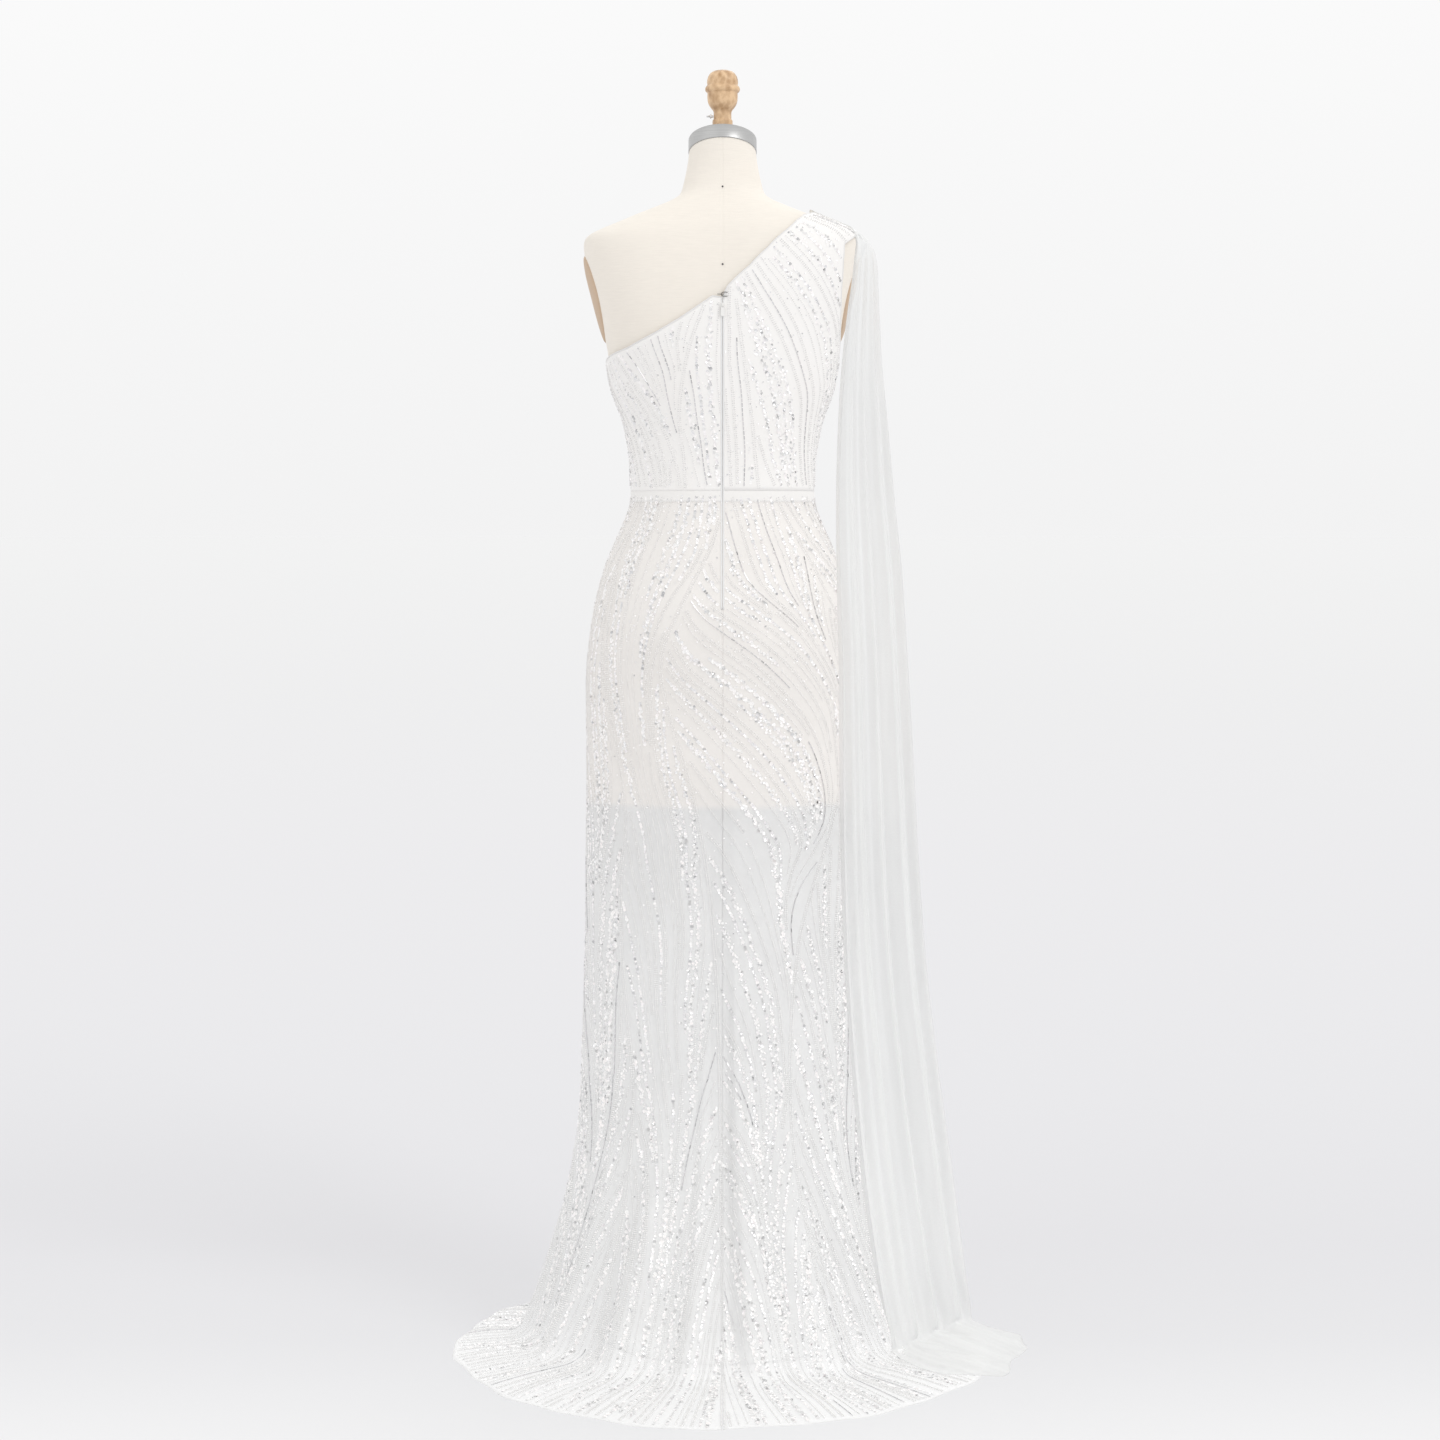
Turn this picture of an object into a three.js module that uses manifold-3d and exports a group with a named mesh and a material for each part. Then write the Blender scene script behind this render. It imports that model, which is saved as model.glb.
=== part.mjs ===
// A one-shoulder mermaid gown with a chiffon streamer at the shoulder, on a dress form and its stand.
// Millimetres, +Z up and the floor at Z = 0. The front faces -Y, so the wearer's left is at +X.
import * as THREE from "three";
import { mergeVertices } from "three/addons/utils/BufferGeometryUtils.js";
import Module from "manifold-3d";

const wasm = await Module();
wasm.setup();

// Driving dimensions of the form and its stand
const WAIST_Z = 1147;
const FORM_BOTTOM_Z = 850;
const FORM_ROUNDING = 5;
const FORM_BOTTOM_INSET = 0.94;
const FORM_COLUMNS = 32;
const FORM_BUST_EASE = 3;
const NECK_RADIUS = 44.7;
const NECK_TOP_Z = 1598;
const NECK_TILT = THREE.MathUtils.degToRad(20.9);
const NECK_CAP_RADIUS = 45.6;
const NECK_CAP_HEIGHT = 20;
const FINIAL_BASE_Z = 1600;
const THUMBSCREW_Z = 1646.5;
const POLE_RADIUS = 16;
const BASE_RADIUS = 168;
const BASE_THICKNESS = 12;
const SOCKET_HEIGHT = 60;
const CLEARANCE = 0.3;
const ARM_PLATE_DOME = 5.8;
const ARM_PLATE_RIM = 0.8;
const ARM_PLATE_SUNK = 2;

// Driving dimensions of the gown
const SEAM_GAP = 0.3;
const SHELL_WALL = 1.4;
const SHELL_OUTSIDE = 4.5;
const LINING_WALL = 1.0;
const LINING_OUTSIDE = 2.1;
const LINING_HEM_Z = 732;
const KNEE_Z = 370;
const FLARE_POWER = 1.85;
const FLOOR_CONTACT = { half: 268, back: 258, front: -212 };
const TRAIN_CENTRE_Y = 88;
const TRAIN_RADIUS = 358;
const FRONT_HEM_Y = -240;
const NECKLINE_CB_Z = 1399;
const ZIP_SLIDER_Z = 1388;
const CLOSURE_Z = 1403;
const UNDERARM_LEFT_Z = 1320;
const UNDERARM_RIGHT_Z = 1308;
const STRAP_NECK_X = 112;
const STRAP_TIP_X = 158;

// Sections of the figure, lowest first. The ones under the form's bottom only guide the hanging cloth.
const RING_COLUMNS = ["side", "half", "back", "backZ", "front", "frontZ", "square"];
const RINGS = [
  [370, 187.4, 120.4, 370, -104.4, 370, 2.0],
  [485, 182.9, 114.4, 485, -100.4, 485, 2.0],
  [621, 180.4, 113.4, 621, -100.4, 621, 2.0],
  [771, 178.4, 117.0, 771, -104.4, 771, 2.0],
  [850, 179.2, 121.0, 850, -107.0, 850, 2.0],
  [900, 178.6, 124.5, 900, -108.5, 900, 2.0],
  [950, 174.4, 125.5, 950, -108.5, 950, 2.0],
  [1000, 166.0, 120.5, 1000, -107.0, 1000, 2.0],
  [1048, 152.5, 108.5, 1048, -104.0, 1048, 2.05],
  [1100, 130.5, 94.0, 1100, -97.5, 1100, 2.1],
  [1124, 120.9, 88.5, 1124, -93.5, 1124, 2.15],
  [1147, 118.9, 86.5, 1147, -91.0, 1147, 2.15],
  [1188, 120.1, 88.5, 1188, -93.0, 1188, 2.15],
  [1220, 124.8, 92.0, 1220, -97.0, 1220, 2.15],
  [1248, 131.6, 95.0, 1248, -101.0, 1248, 2.2],
  [1283, 144.4, 98.0, 1283, -105.5, 1283, 2.25],
  [1318, 151.0, 101.0, 1320, -109.0, 1318, 2.3],
  [1345, 156.0, 102.0, 1357, -111.0, 1348, 2.4],
  [1374, 162.5, 102.0, 1392, -111.5, 1376, 2.5],
  [1405, 170.0, 100.0, 1424, -108.5, 1402, 2.6],
  [1440, 179.5, 96.5, 1450, -104.0, 1422, 2.6],
  [1466, 185.0, 92.5, 1470, -98.0, 1440, 2.6],
  [1481, 183.0, 88.0, 1485, -92.0, 1454, 2.6],
  [1491, 166.0, 83.5, 1496, -86.0, 1464, 2.5],
  [1500, 144.0, 78.0, 1506, -79.5, 1474, 2.4],
  [1510, 120.0, 72.0, 1517, -72.0, 1485, 2.3],
  [1520.5, 92.0, 65.0, 1529, -62.0, 1497, 2.2],
  [1530, 70.0, 59.5, 1539, -53.5, 1508, 2.1],
  [1541, 57.0, 54.5, 1551, -47.5, 1519, 2.0],
  [1563, 50.5, 48.0, 1573, -42.5, 1543, 2.0],
  [1583, 46.5, 44.0, 1596, -41.0, 1565, 2.0],
  [
    NECK_TOP_Z,
    NECK_RADIUS,
    NECK_RADIUS * Math.cos(NECK_TILT),
    NECK_TOP_Z + NECK_RADIUS * Math.sin(NECK_TILT),
    -NECK_RADIUS * Math.cos(NECK_TILT),
    NECK_TOP_Z - NECK_RADIUS * Math.sin(NECK_TILT),
    2.0,
  ],
].map((row) => Object.fromEntries(RING_COLUMNS.map((name, i) => [name, row[i]])));
const TOP_LEVEL = RINGS.length - 1;
const WAIST_LEVEL = RINGS.findIndex((ring) => ring.side === WAIST_Z);
const FORM_BOTTOM_LEVEL = RINGS.findIndex((ring) => ring.side === FORM_BOTTOM_Z);
const TIP_LEVEL = 21.6;

// The bust of the form: two soft mounds on its front
const BUST = { x: 76, z: 1334, rise: 23, spreadX: 42, spreadZ: 46 };

// Soft folds of the skirt: angle from the centre back, spread, reach at the hem, and where each starts
const FOLD_COLUMNS = ["angle", "spread", "reach", "startZ"];
const FOLDS = [
  [-3, 4.5, -24, 640],
  [9, 5.5, 11, 470],
  [21, 5, -9, 400],
  [33, 6, 12, 360],
  [46, 5.5, -13, 330],
  [59, 6, 12, 320],
  [72, 5.5, -11, 300],
  [86, 7, 9, 300],
  [103, 7, -9, 300],
  [121, 8, 9, 300],
  [140, 8, -9, 320],
  [160, 8, 9, 320],
  [180, 8, -9, 320],
  [200, 8, 9, 320],
  [220, 8, -9, 320],
  [239, 8, 9, 300],
  [257, 7, -9, 300],
  [274, 7, 9, 300],
  [288, 5.5, -11, 300],
  [301, 6, 13, 340],
  [314, 5.5, -14, 380],
  [327, 5.5, 12, 420],
  [340, 5, -9, 440],
  [348, 5, 9, 470],
].map((row) => Object.fromEntries(FOLD_COLUMNS.map((name, i) => [name, row[i]])));

// Heights of the skirt's rows under the form, down to the floor, then shares of the way to the hem
const HANGING_ROWS = [760, 620, 490, 385, 300, 228, 168, 118, 76, 42, 14];
const FLOOR_ROWS = [0.16, 0.55, 1];

// The back neckline and the two armhole edges, as seen from behind and from the front: across, then up.
const BACK_NECKLINE = [
  [-6, 1413],
  [-20, 1427],
  [-36, 1441],
  [-59, 1464],
  [-85, 1488],
  [-97, 1499.5],
  [-106, 1507.5],
];
const BACK_NECKLINE_LEFT = [
  [13, 1401],
  [34, 1387],
  [55, 1373],
  [86, 1355],
  [123, 1336],
];
const FRONT_NECKLINE = [
  [140, 1333],
  [105, 1352],
  [60, 1378],
  [10, 1409],
  [-35, 1436],
  [-75, 1462],
];
const BACK_ARMHOLE = [
  [-152, 1338],
  [-152.5, 1375],
  [-153.5, 1411],
  [-156, 1447],
  [-157.5, 1472],
];
const FRONT_ARMHOLE = [
  [-148, 1336],
  [-146, 1370],
  [-148, 1405],
  [-152, 1438],
  [-156, 1468],
];

// The streamer's sections from the shoulder to the floor: its back edge, outer edge and depth of folds
const STREAMER_WALL = 1.2;
const SHOULDER_SLOPE_RISE = 1.1;
const PUDDLE = { gap: 0.8, fallStart: 8, fallWidth: 16 };
const STREAMER_FOLDS = 3.75;
const STREAMER_COLUMNS = 27;
const STREAMER_CLEARANCE = 1.8;
const SECTION_COLUMNS = ["backX", "backY", "backZ", "outX", "outY", "outZ", "depth"];
const STREAMER_SECTIONS = [
  [-116, 30, 1516, -116, -28, 1516, 1.6],
  [-138, 32, 1508, -140, -29, 1508, 1.8],
  [-158, 36, 1500, -164, -28, 1499, 2.0],
  [-171, 46, 1492, -184, -24, 1492, 2.4],
  [-175, 58, 1476, -200, -17, 1478, 3.0],
  [-173, 64, 1452, -207, -11, 1456, 3.6],
  [-169, 66, 1416, -209, -6, 1418, 4.6],
  [-163, 67, 1370, -211, -2, 1372, 6],
  [-157, 67, 1312, -214, 3, 1314, 7.5],
  [-152, 68, 1240, -221, 8, 1240, 9],
  [-149, 74, 1150, -229, 12, 1150, 10.5],
  [-149, 92, 1040, -240, 17, 1040, 11.5],
  [-152, 102, 920, -248, 20, 920, 12.5],
  [-153, 103, 790, -256, 20, 790, 13],
  [-155, 103, 650, -264, 18, 650, 13.5],
  [-160, 105, 510, -275, 14, 510, 14],
  [-170, 117, 370, -292, 9, 370, 14.5],
  [-183, 132, 230, -312, 1, 230, 15],
  [-201, 149, 105, -329, -6, 105, 14],
  [-215, 160, 40, -339, -10, 40, 10],
  [-223, 168, 12, -345, -10, 12, 6],
].map((row) => Object.fromEntries(SECTION_COLUMNS.map((name, i) => [name, row[i]])));
const PUDDLE_SECTIONS = [
  [-234, 190, 0, -366, 4, 0, 3.5],
  [-258, 228, 0, -390, 22, 0, 2.6],
  [-294, 259, 0, -414, 42, 0, 1.8],
  [-335, 281, 0, -437, 63, 0, 1.2],
].map((row) => Object.fromEntries(SECTION_COLUMNS.map((name, i) => [name, row[i]])));

const radians = THREE.MathUtils.degToRad;
const mix = (a, b, share) => a + (b - a) * share;
const smooth = (share) => {
  const t = Math.min(1, Math.max(0, share));
  return t * t * (3 - 2 * t);
};

// A value between four samples on a smooth curve
function throughFour(a, b, c, d, t) {
  const slopeB = (c - a) / 2;
  const slopeC = (d - b) / 2;
  const t2 = t * t;
  const t3 = t2 * t;
  return (
    (2 * t3 - 3 * t2 + 1) * b + (t3 - 2 * t2 + t) * slopeB + (3 * t2 - 2 * t3) * c + (t3 - t2) * slopeC
  );
}

// The section at a level, where whole levels are the rows of the table
function ringAt(level) {
  const clamped = Math.min(TOP_LEVEL, Math.max(0, level));
  const first = Math.min(TOP_LEVEL - 1, Math.floor(clamped));
  const row = (i) => RINGS[Math.min(TOP_LEVEL, Math.max(0, i))];
  const ring = {};
  for (const name of RING_COLUMNS) {
    ring[name] = throughFour(
      row(first - 1)[name],
      row(first)[name],
      row(first + 1)[name],
      row(first + 2)[name],
      clamped - first,
    );
  }
  return ring;
}

// A point of an oval section: angle 0 is the centre back and 90 degrees the wearer's left.
function ovalPoint(ring, angle) {
  const sine = Math.sin(angle);
  const cosine = Math.cos(angle);
  const depth = cosine >= 0 ? ring.back : -ring.front;
  const power = ring.square;
  const radius = (Math.abs(sine / ring.half) ** power + Math.abs(cosine / depth) ** power) ** (-1 / power);
  return { x: radius * sine, y: radius * cosine, share: (radius * cosine) / depth };
}

// A point on the figure's skin
function figurePoint(angle, level, bustRise = BUST.rise) {
  const ring = ringAt(level);
  const { x, y, share } = ovalPoint(ring, angle);
  const tilt = (ring.backZ - ring.frontZ) / 2;
  const saddle = (ring.backZ + ring.frontZ) / 2 - ring.side;
  const z = ring.side + tilt * share + saddle * share * share;
  const across = (Math.abs(x) - BUST.x) / BUST.spreadX;
  const up = (z - BUST.z) / BUST.spreadZ;
  const bust = bustRise * Math.exp(-across * across - up * up) * smooth(-share * 2);
  return new THREE.Vector3(x, y - bust, z);
}

// The outward direction of a surface that is given as a function of an angle and a level
function outward(surface, angle, level, angleStep = 0.01, levelStep = 0.04) {
  const round = surface(angle + angleStep, level).sub(surface(angle - angleStep, level));
  const up = surface(angle, level + levelStep).sub(surface(angle, level - levelStep));
  return up.cross(round).normalize();
}

// The figure's skin moved out
function clothPoint(angle, level, out) {
  const point = figurePoint(angle, level);
  return point.addScaledVector(outward(figurePoint, angle, level), out);
}

// The value between low and high where a rising function reaches its target
function solve(rising, target, low, high) {
  for (let i = 0; i < 48; i++) {
    const middle = (low + high) / 2;
    if (rising(middle) < target) low = middle;
    else high = middle;
  }
  return (low + high) / 2;
}

const levelAtSide = (z) => solve((level) => ringAt(level).side, z, 0, TIP_LEVEL);
const levelOnRidge = (x) => solve((level) => -ringAt(level).half, -x, TIP_LEVEL, TOP_LEVEL);

// The angle and level of the skin at a place across and up, on the back or on the front
function placeOnFigure(x, z, onBack) {
  const turn = (angle) => (x < 0 ? -1 : 1) * (onBack ? angle : Math.PI - angle);
  const highest = Math.abs(x) > 50 ? levelOnRidge(Math.abs(x)) : TOP_LEVEL;
  const angleAt = (level) =>
    solve((angle) => Math.abs(figurePoint(turn(angle), level).x), Math.abs(x), 0, Math.PI / 2);
  const level = solve((l) => figurePoint(turn(angleAt(l)), l).z, z, WAIST_LEVEL, highest);
  return [turn(angleAt(level)), level];
}

// The point at a share of the length of a line of [angle, level] places
function along(places, share) {
  const at = places.map(([angle, level]) => clothPoint(angle, level, SHELL_OUTSIDE));
  const lengths = [0];
  for (let i = 1; i < at.length; i++) lengths.push(lengths[i - 1] + at[i].distanceTo(at[i - 1]));
  const wanted = share * lengths[lengths.length - 1];
  let i = 1;
  while (i < at.length - 1 && lengths[i] < wanted) i++;
  const t = (wanted - lengths[i - 1]) / (lengths[i] - lengths[i - 1]);
  return [mix(places[i - 1][0], places[i][0], t), mix(places[i - 1][1], places[i][1], t)];
}

// A patch of places between four edges
function patchPlaces(edges, columns, rows) {
  const corner = (edge, end) => along(edges[edge], end);
  const places = [];
  for (let j = 0; j <= rows; j++) {
    const v = j / rows;
    const line = [];
    for (let i = 0; i <= columns; i++) {
      const u = i / columns;
      const [low, high] = [along(edges.low, u), along(edges.high, u)];
      const [first, last] = [along(edges.first, v), along(edges.last, v)];
      line.push(
        [0, 1].map(
          (k) =>
            mix(low[k], high[k], v) +
            mix(first[k], last[k], u) -
            mix(
              mix(corner("low", 0)[k], corner("low", 1)[k], u),
              mix(corner("high", 0)[k], corner("high", 1)[k], u),
              v,
            ),
        ),
      );
    }
    places.push(line);
  }
  return places;
}

// A closed wall between an outer and an inner grid of points
function closedWall(outer, inner) {
  const rows = outer.length;
  const columns = outer[0].length;
  const points = [...outer.flat(), ...inner.flat()];
  const faces = [];
  const at = (side, j, i) => side * rows * columns + j * columns + i;
  const quad = (a, b, c, d) => faces.push([a, b, c], [a, c, d]);
  const top = rows - 1;
  const end = columns - 1;
  for (let j = 0; j < top; j++) {
    for (let i = 0; i < end; i++) {
      quad(at(0, j, i), at(0, j, i + 1), at(0, j + 1, i + 1), at(0, j + 1, i));
      quad(at(1, j, i), at(1, j + 1, i), at(1, j + 1, i + 1), at(1, j, i + 1));
    }
  }
  for (let i = 0; i < end; i++) {
    quad(at(1, 0, i), at(1, 0, i + 1), at(0, 0, i + 1), at(0, 0, i));
    quad(at(0, top, i), at(0, top, i + 1), at(1, top, i + 1), at(1, top, i));
  }
  for (let j = 0; j < top; j++) {
    quad(at(0, j, 0), at(0, j + 1, 0), at(1, j + 1, 0), at(1, j, 0));
    quad(at(1, j, end), at(1, j + 1, end), at(0, j + 1, end), at(0, j, end));
  }
  return facingOut(points, faces);
}

// A solid between closed sections, with both ends closed by a fan
function loft(sections) {
  const count = sections[0].length;
  const points = sections.flat();
  const faces = [];
  for (let j = 0; j < sections.length - 1; j++) {
    for (let i = 0; i < count; i++) {
      const next = (i + 1) % count;
      const [a, b] = [j * count + i, j * count + next];
      faces.push([a, b, b + count], [a, b + count, a + count]);
    }
  }
  for (const [section, reversed] of [
    [0, true],
    [sections.length - 1, false],
  ]) {
    const middle = new THREE.Vector3();
    sections[section].forEach((point) => middle.addScaledVector(point, 1 / count));
    const hub = points.push(middle) - 1;
    for (let i = 0; i < count; i++) {
      const [a, b] = [section * count + i, section * count + ((i + 1) % count)];
      faces.push(reversed ? [hub, b, a] : [hub, a, b]);
    }
  }
  return facingOut(points, faces);
}

// A geometry whose faces point outwards
function facingOut(points, faces) {
  let volume = 0;
  for (const [a, b, c] of faces) {
    volume += points[a].dot(new THREE.Vector3().crossVectors(points[b], points[c]));
  }
  const outside = volume < 0 ? faces.map(([a, b, c]) => [a, c, b]) : faces;
  return new THREE.BufferGeometry()
    .setAttribute("position", new THREE.Float32BufferAttribute(points.flatMap((p) => p.toArray()), 3))
    .setIndex(outside.flat());
}

// A closed geometry as a solid that can be cut and joined, and back
function solidOf(geometry) {
  const bare = geometry.clone();
  bare.deleteAttribute("normal");
  bare.deleteAttribute("uv");
  const merged = mergeVertices(bare, 1e-3);
  const triVerts = new Uint32Array(merged.index.array);
  const vertProperties = merged.attributes.position.array;
  return new wasm.Manifold(new wasm.Mesh({ numProp: 3, vertProperties, triVerts }));
}

function geometryOf(solid) {
  const mesh = solid.getMesh();
  return new THREE.BufferGeometry()
    .setAttribute("position", new THREE.BufferAttribute(new Float32Array(mesh.vertProperties), 3))
    .setIndex(new THREE.BufferAttribute(mesh.triVerts, 1));
}

const joined = (...geometries) => geometryOf(geometries.map(solidOf).reduce((sum, one) => sum.add(one)));

const finish = (color, roughness, metalness = 0) =>
  new THREE.MeshStandardMaterial({ color, roughness, metalness });
const LINEN = finish(0xf2ebe0, 0.9);
const PLATE_LINEN = finish(0xc9ab8a, 0.9);
const STEEL = finish(0x9a9c9c, 0.3, 1);
const WOOD = finish(0xd8a871, 0.6);
const WHITE_PAINT = finish(0xdcdcdc, 0.5);
const BEADED_TULLE = finish(0xf4f3ef, 0.45);
const LINING_CLOTH = finish(0xf3e8e0, 0.7);
const CHIFFON = finish(0xf0f1ef, 0.6);
const NICKEL = finish(0xb9b4aa, 0.35, 1);

const gown = new THREE.Group();

function addPart(name, geometry, material, parent = gown) {
  const mesh = new THREE.Mesh(geometry, material);
  mesh.name = name;
  parent.add(mesh);
  return mesh;
}

// The form's own skin, whose bust is a little smaller than the one the cloth is cut for
function formPoint(angle, level, out) {
  const point = figurePoint(angle, level, BUST.rise - FORM_BUST_EASE);
  return point.addScaledVector(outward(figurePoint, angle, level), out);
}

// The form's body from its closed bottom to the top of the neck, or the same body grown by a little
function torsoShape(grown) {
  const angles = Array.from({ length: FORM_COLUMNS }, (_, i) => (i / FORM_COLUMNS) * Math.PI * 2);
  const sections = [];
  for (let level = FORM_BOTTOM_LEVEL; level <= TOP_LEVEL; level++) {
    sections.push(angles.map((angle) => formPoint(angle, level, grown)));
  }
  const bottom = sections[0].map(
    (p) => new THREE.Vector3(p.x * FORM_BOTTOM_INSET, p.y * FORM_BOTTOM_INSET, p.z - FORM_ROUNDING),
  );
  return loft([bottom, ...sections]);
}

// The oval plates over the armholes, raised from the form's own side
function addArmPlate(name, side) {
  const centre = { angle: side * Math.PI * 0.5, level: 18.9 };
  const reach = { angle: radians(16.5), level: 1.85 };
  const spokes = 16;
  const circles = 3;
  const place = (share, turn) => [
    centre.angle + reach.angle * share * Math.cos(turn),
    centre.level + reach.level * share * Math.sin(turn),
  ];
  const points = [];
  const faces = [];
  const heights = [
    (share) => mix(ARM_PLATE_RIM, ARM_PLATE_DOME, Math.sqrt(Math.max(0, 1 - share * share))),
    () => -ARM_PLATE_SUNK,
  ];
  heights.forEach((height, layer) => {
    const first = points.push(clothPoint(centre.angle, centre.level, height(0))) - 1;
    for (let j = 1; j <= circles; j++) {
      for (let i = 0; i < spokes; i++) {
        const share = Math.sin(((j / circles) * Math.PI) / 2);
        const [angle, level] = place(share, (i / spokes) * Math.PI * 2);
        points.push(clothPoint(angle, level, height(share)));
      }
    }
    const at = (j, i) => first + 1 + (j - 1) * spokes + (i % spokes);
    const face = (a, b, c) => faces.push(layer ? [a, c, b] : [a, b, c]);
    for (let i = 0; i < spokes; i++) {
      face(first, at(1, i), at(1, i + 1));
      for (let j = 1; j < circles; j++) {
        face(at(j, i), at(j + 1, i), at(j + 1, i + 1));
        face(at(j, i), at(j + 1, i + 1), at(j, i + 1));
      }
    }
  });
  const layerSize = 1 + circles * spokes;
  for (let i = 0; i < spokes; i++) {
    const a = 1 + (circles - 1) * spokes + i;
    const b = 1 + (circles - 1) * spokes + ((i + 1) % spokes);
    faces.push([a, a + layerSize, b + layerSize], [a, b + layerSize, b]);
  }
  const plate = solidOf(facingOut(points, faces)).subtract(solidOf(torsoShape(CLEARANCE)));
  addPart(name, geometryOf(plate), PLATE_LINEN);
}

// A turned piece about a vertical axis, from a profile of [radius, height]
function turned(profile, segments) {
  const outline = profile.map(([radius, height]) => new THREE.Vector2(radius, height));
  return new THREE.LatheGeometry(outline, segments).rotateX(Math.PI / 2);
}

// The steel cap on the neck, tilted forwards with it
function addNeckCap() {
  const edge = 1.5;
  const cap = turned(
    [
      [0, 0],
      [NECK_CAP_RADIUS, 0],
      [NECK_CAP_RADIUS, NECK_CAP_HEIGHT - edge],
      [NECK_CAP_RADIUS - edge, NECK_CAP_HEIGHT],
      [0, NECK_CAP_HEIGHT],
    ],
    32,
  );
  const tilted = new THREE.Group();
  tilted.position.set(0, 0, NECK_TOP_Z);
  tilted.rotation.x = NECK_TILT;
  gown.add(tilted);
  addPart("form_neck_cap", cap.translate(0, 0, CLEARANCE), STEEL, tilted);
}

// The turned wooden knob, cut to the cap's slope and drilled for its screw
function addFinial() {
  const profile = [
    [0, 0],
    [13.5, 0],
    [13.5, 39.5],
    [12, 42.5],
    [11.8, 52],
    [13.6, 55.5],
    [19, 62],
    [20.2, 70],
    [20.2, 78],
    [23.2, 81],
    [23.2, 84],
    [20.6, 87.5],
    [20, 96],
    [17.5, 103.5],
    [12, 107],
    [0, 107.8],
  ];
  const knob = turned(profile, 24).translate(0, 0, FINIAL_BASE_Z);
  const block = 200;
  const slope = new THREE.Matrix4()
    .makeTranslation(0, 0, NECK_TOP_Z)
    .multiply(new THREE.Matrix4().makeRotationX(NECK_TILT));
  const below = new THREE.BoxGeometry(block, block, block)
    .translate(0, 0, NECK_CAP_HEIGHT + 2 * CLEARANCE - block / 2)
    .applyMatrix4(slope);
  const hole = new THREE.CylinderGeometry(2.5, 2.5, 12, 12)
    .rotateZ(Math.PI / 2)
    .translate(12, 0, THUMBSCREW_Z);
  addPart("form_finial", geometryOf(solidOf(knob).subtract(solidOf(below)).subtract(solidOf(hole))), WOOD);
}

// The wing screw that holds the knob on the pole
function addThumbscrew() {
  const shank = new THREE.CylinderGeometry(2.1, 2.1, 11, 12).rotateZ(Math.PI / 2).translate(12.5, 0, 0);
  const collar = new THREE.CylinderGeometry(3, 3, 1.6, 12).rotateZ(Math.PI / 2).translate(15.6, 0, 0);
  const wing = new THREE.Shape();
  wing.moveTo(16, -1.4);
  wing.quadraticCurveTo(18, -2.4, 19, -4.6);
  wing.absarc(20.6, -4.4, 1.6, Math.PI, Math.PI * 2.2, false);
  wing.quadraticCurveTo(19.4, 0, 21.9, 3.46);
  wing.absarc(20.6, 4.4, 1.6, -Math.PI * 0.2, Math.PI, false);
  wing.quadraticCurveTo(18, 2.4, 16, 1.4);
  const plate = new THREE.ExtrudeGeometry(wing, { depth: 1.8, bevelEnabled: false, curveSegments: 5 })
    .translate(0, 0, -0.9)
    .rotateX(Math.PI / 2);
  const screw = joined(shank, collar, plate);
  addPart("form_thumbscrew", screw, STEEL).position.z = THUMBSCREW_Z;
}

// The stand: a round base with a socket, and the pole up to the form's bottom
function addStand() {
  const rim = 4;
  const wall = 8;
  const socketRadius = POLE_RADIUS + CLEARANCE + wall;
  addPart(
    "stand_base",
    turned(
      [
        [0, 0],
        [BASE_RADIUS, 0],
        [BASE_RADIUS, BASE_THICKNESS - rim],
        [BASE_RADIUS - rim, BASE_THICKNESS],
        [socketRadius + wall, BASE_THICKNESS + rim],
        [socketRadius, SOCKET_HEIGHT],
        [POLE_RADIUS + CLEARANCE, SOCKET_HEIGHT],
        [POLE_RADIUS + CLEARANCE, BASE_THICKNESS],
        [0, BASE_THICKNESS],
      ],
      36,
    ),
    WHITE_PAINT,
  );
  const low = BASE_THICKNESS + CLEARANCE;
  const high = FORM_BOTTOM_Z - FORM_ROUNDING - CLEARANCE;
  const pole = new THREE.CylinderGeometry(POLE_RADIUS, POLE_RADIUS, high - low, 20);
  addPart("stand_pole", pole.rotateX(Math.PI / 2).translate(0, 0, (low + high) / 2), WHITE_PAINT);
}

// The bodice: each panel is a patch of the figure's skin, moved out
function addBodicePanel(name, edges, columns, rows) {
  const places = patchPlaces(edges, columns, rows);
  const layer = (out) => places.map((line) => line.map(([angle, level]) => clothPoint(angle, level, out)));
  addPart(name, closedWall(layer(SHELL_OUTSIDE), layer(SHELL_OUTSIDE - SHELL_WALL)), BEADED_TULLE);
}

const seamAngle = (level) => SEAM_GAP / 2 / ringAt(level).half;
const backSeamAngle = (level) => SEAM_GAP / 2 / ringAt(level).back;

// Places up a seam between two levels, a little to one side of its angle
function seamLine(angle, towards, from, to, stepAngle = seamAngle) {
  const steps = 8;
  return Array.from({ length: steps + 1 }, (_, i) => {
    const level = mix(from, to, i / steps);
    return [angle + towards * stepAngle(level), level];
  });
}

// Places along the waist, just above its seam
function waistLine(from, to) {
  const steps = 12;
  const level = levelAtSide(WAIST_Z + SEAM_GAP / 2);
  return Array.from({ length: steps + 1 }, (_, i) => [mix(from, to, i / steps), level]);
}

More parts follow.
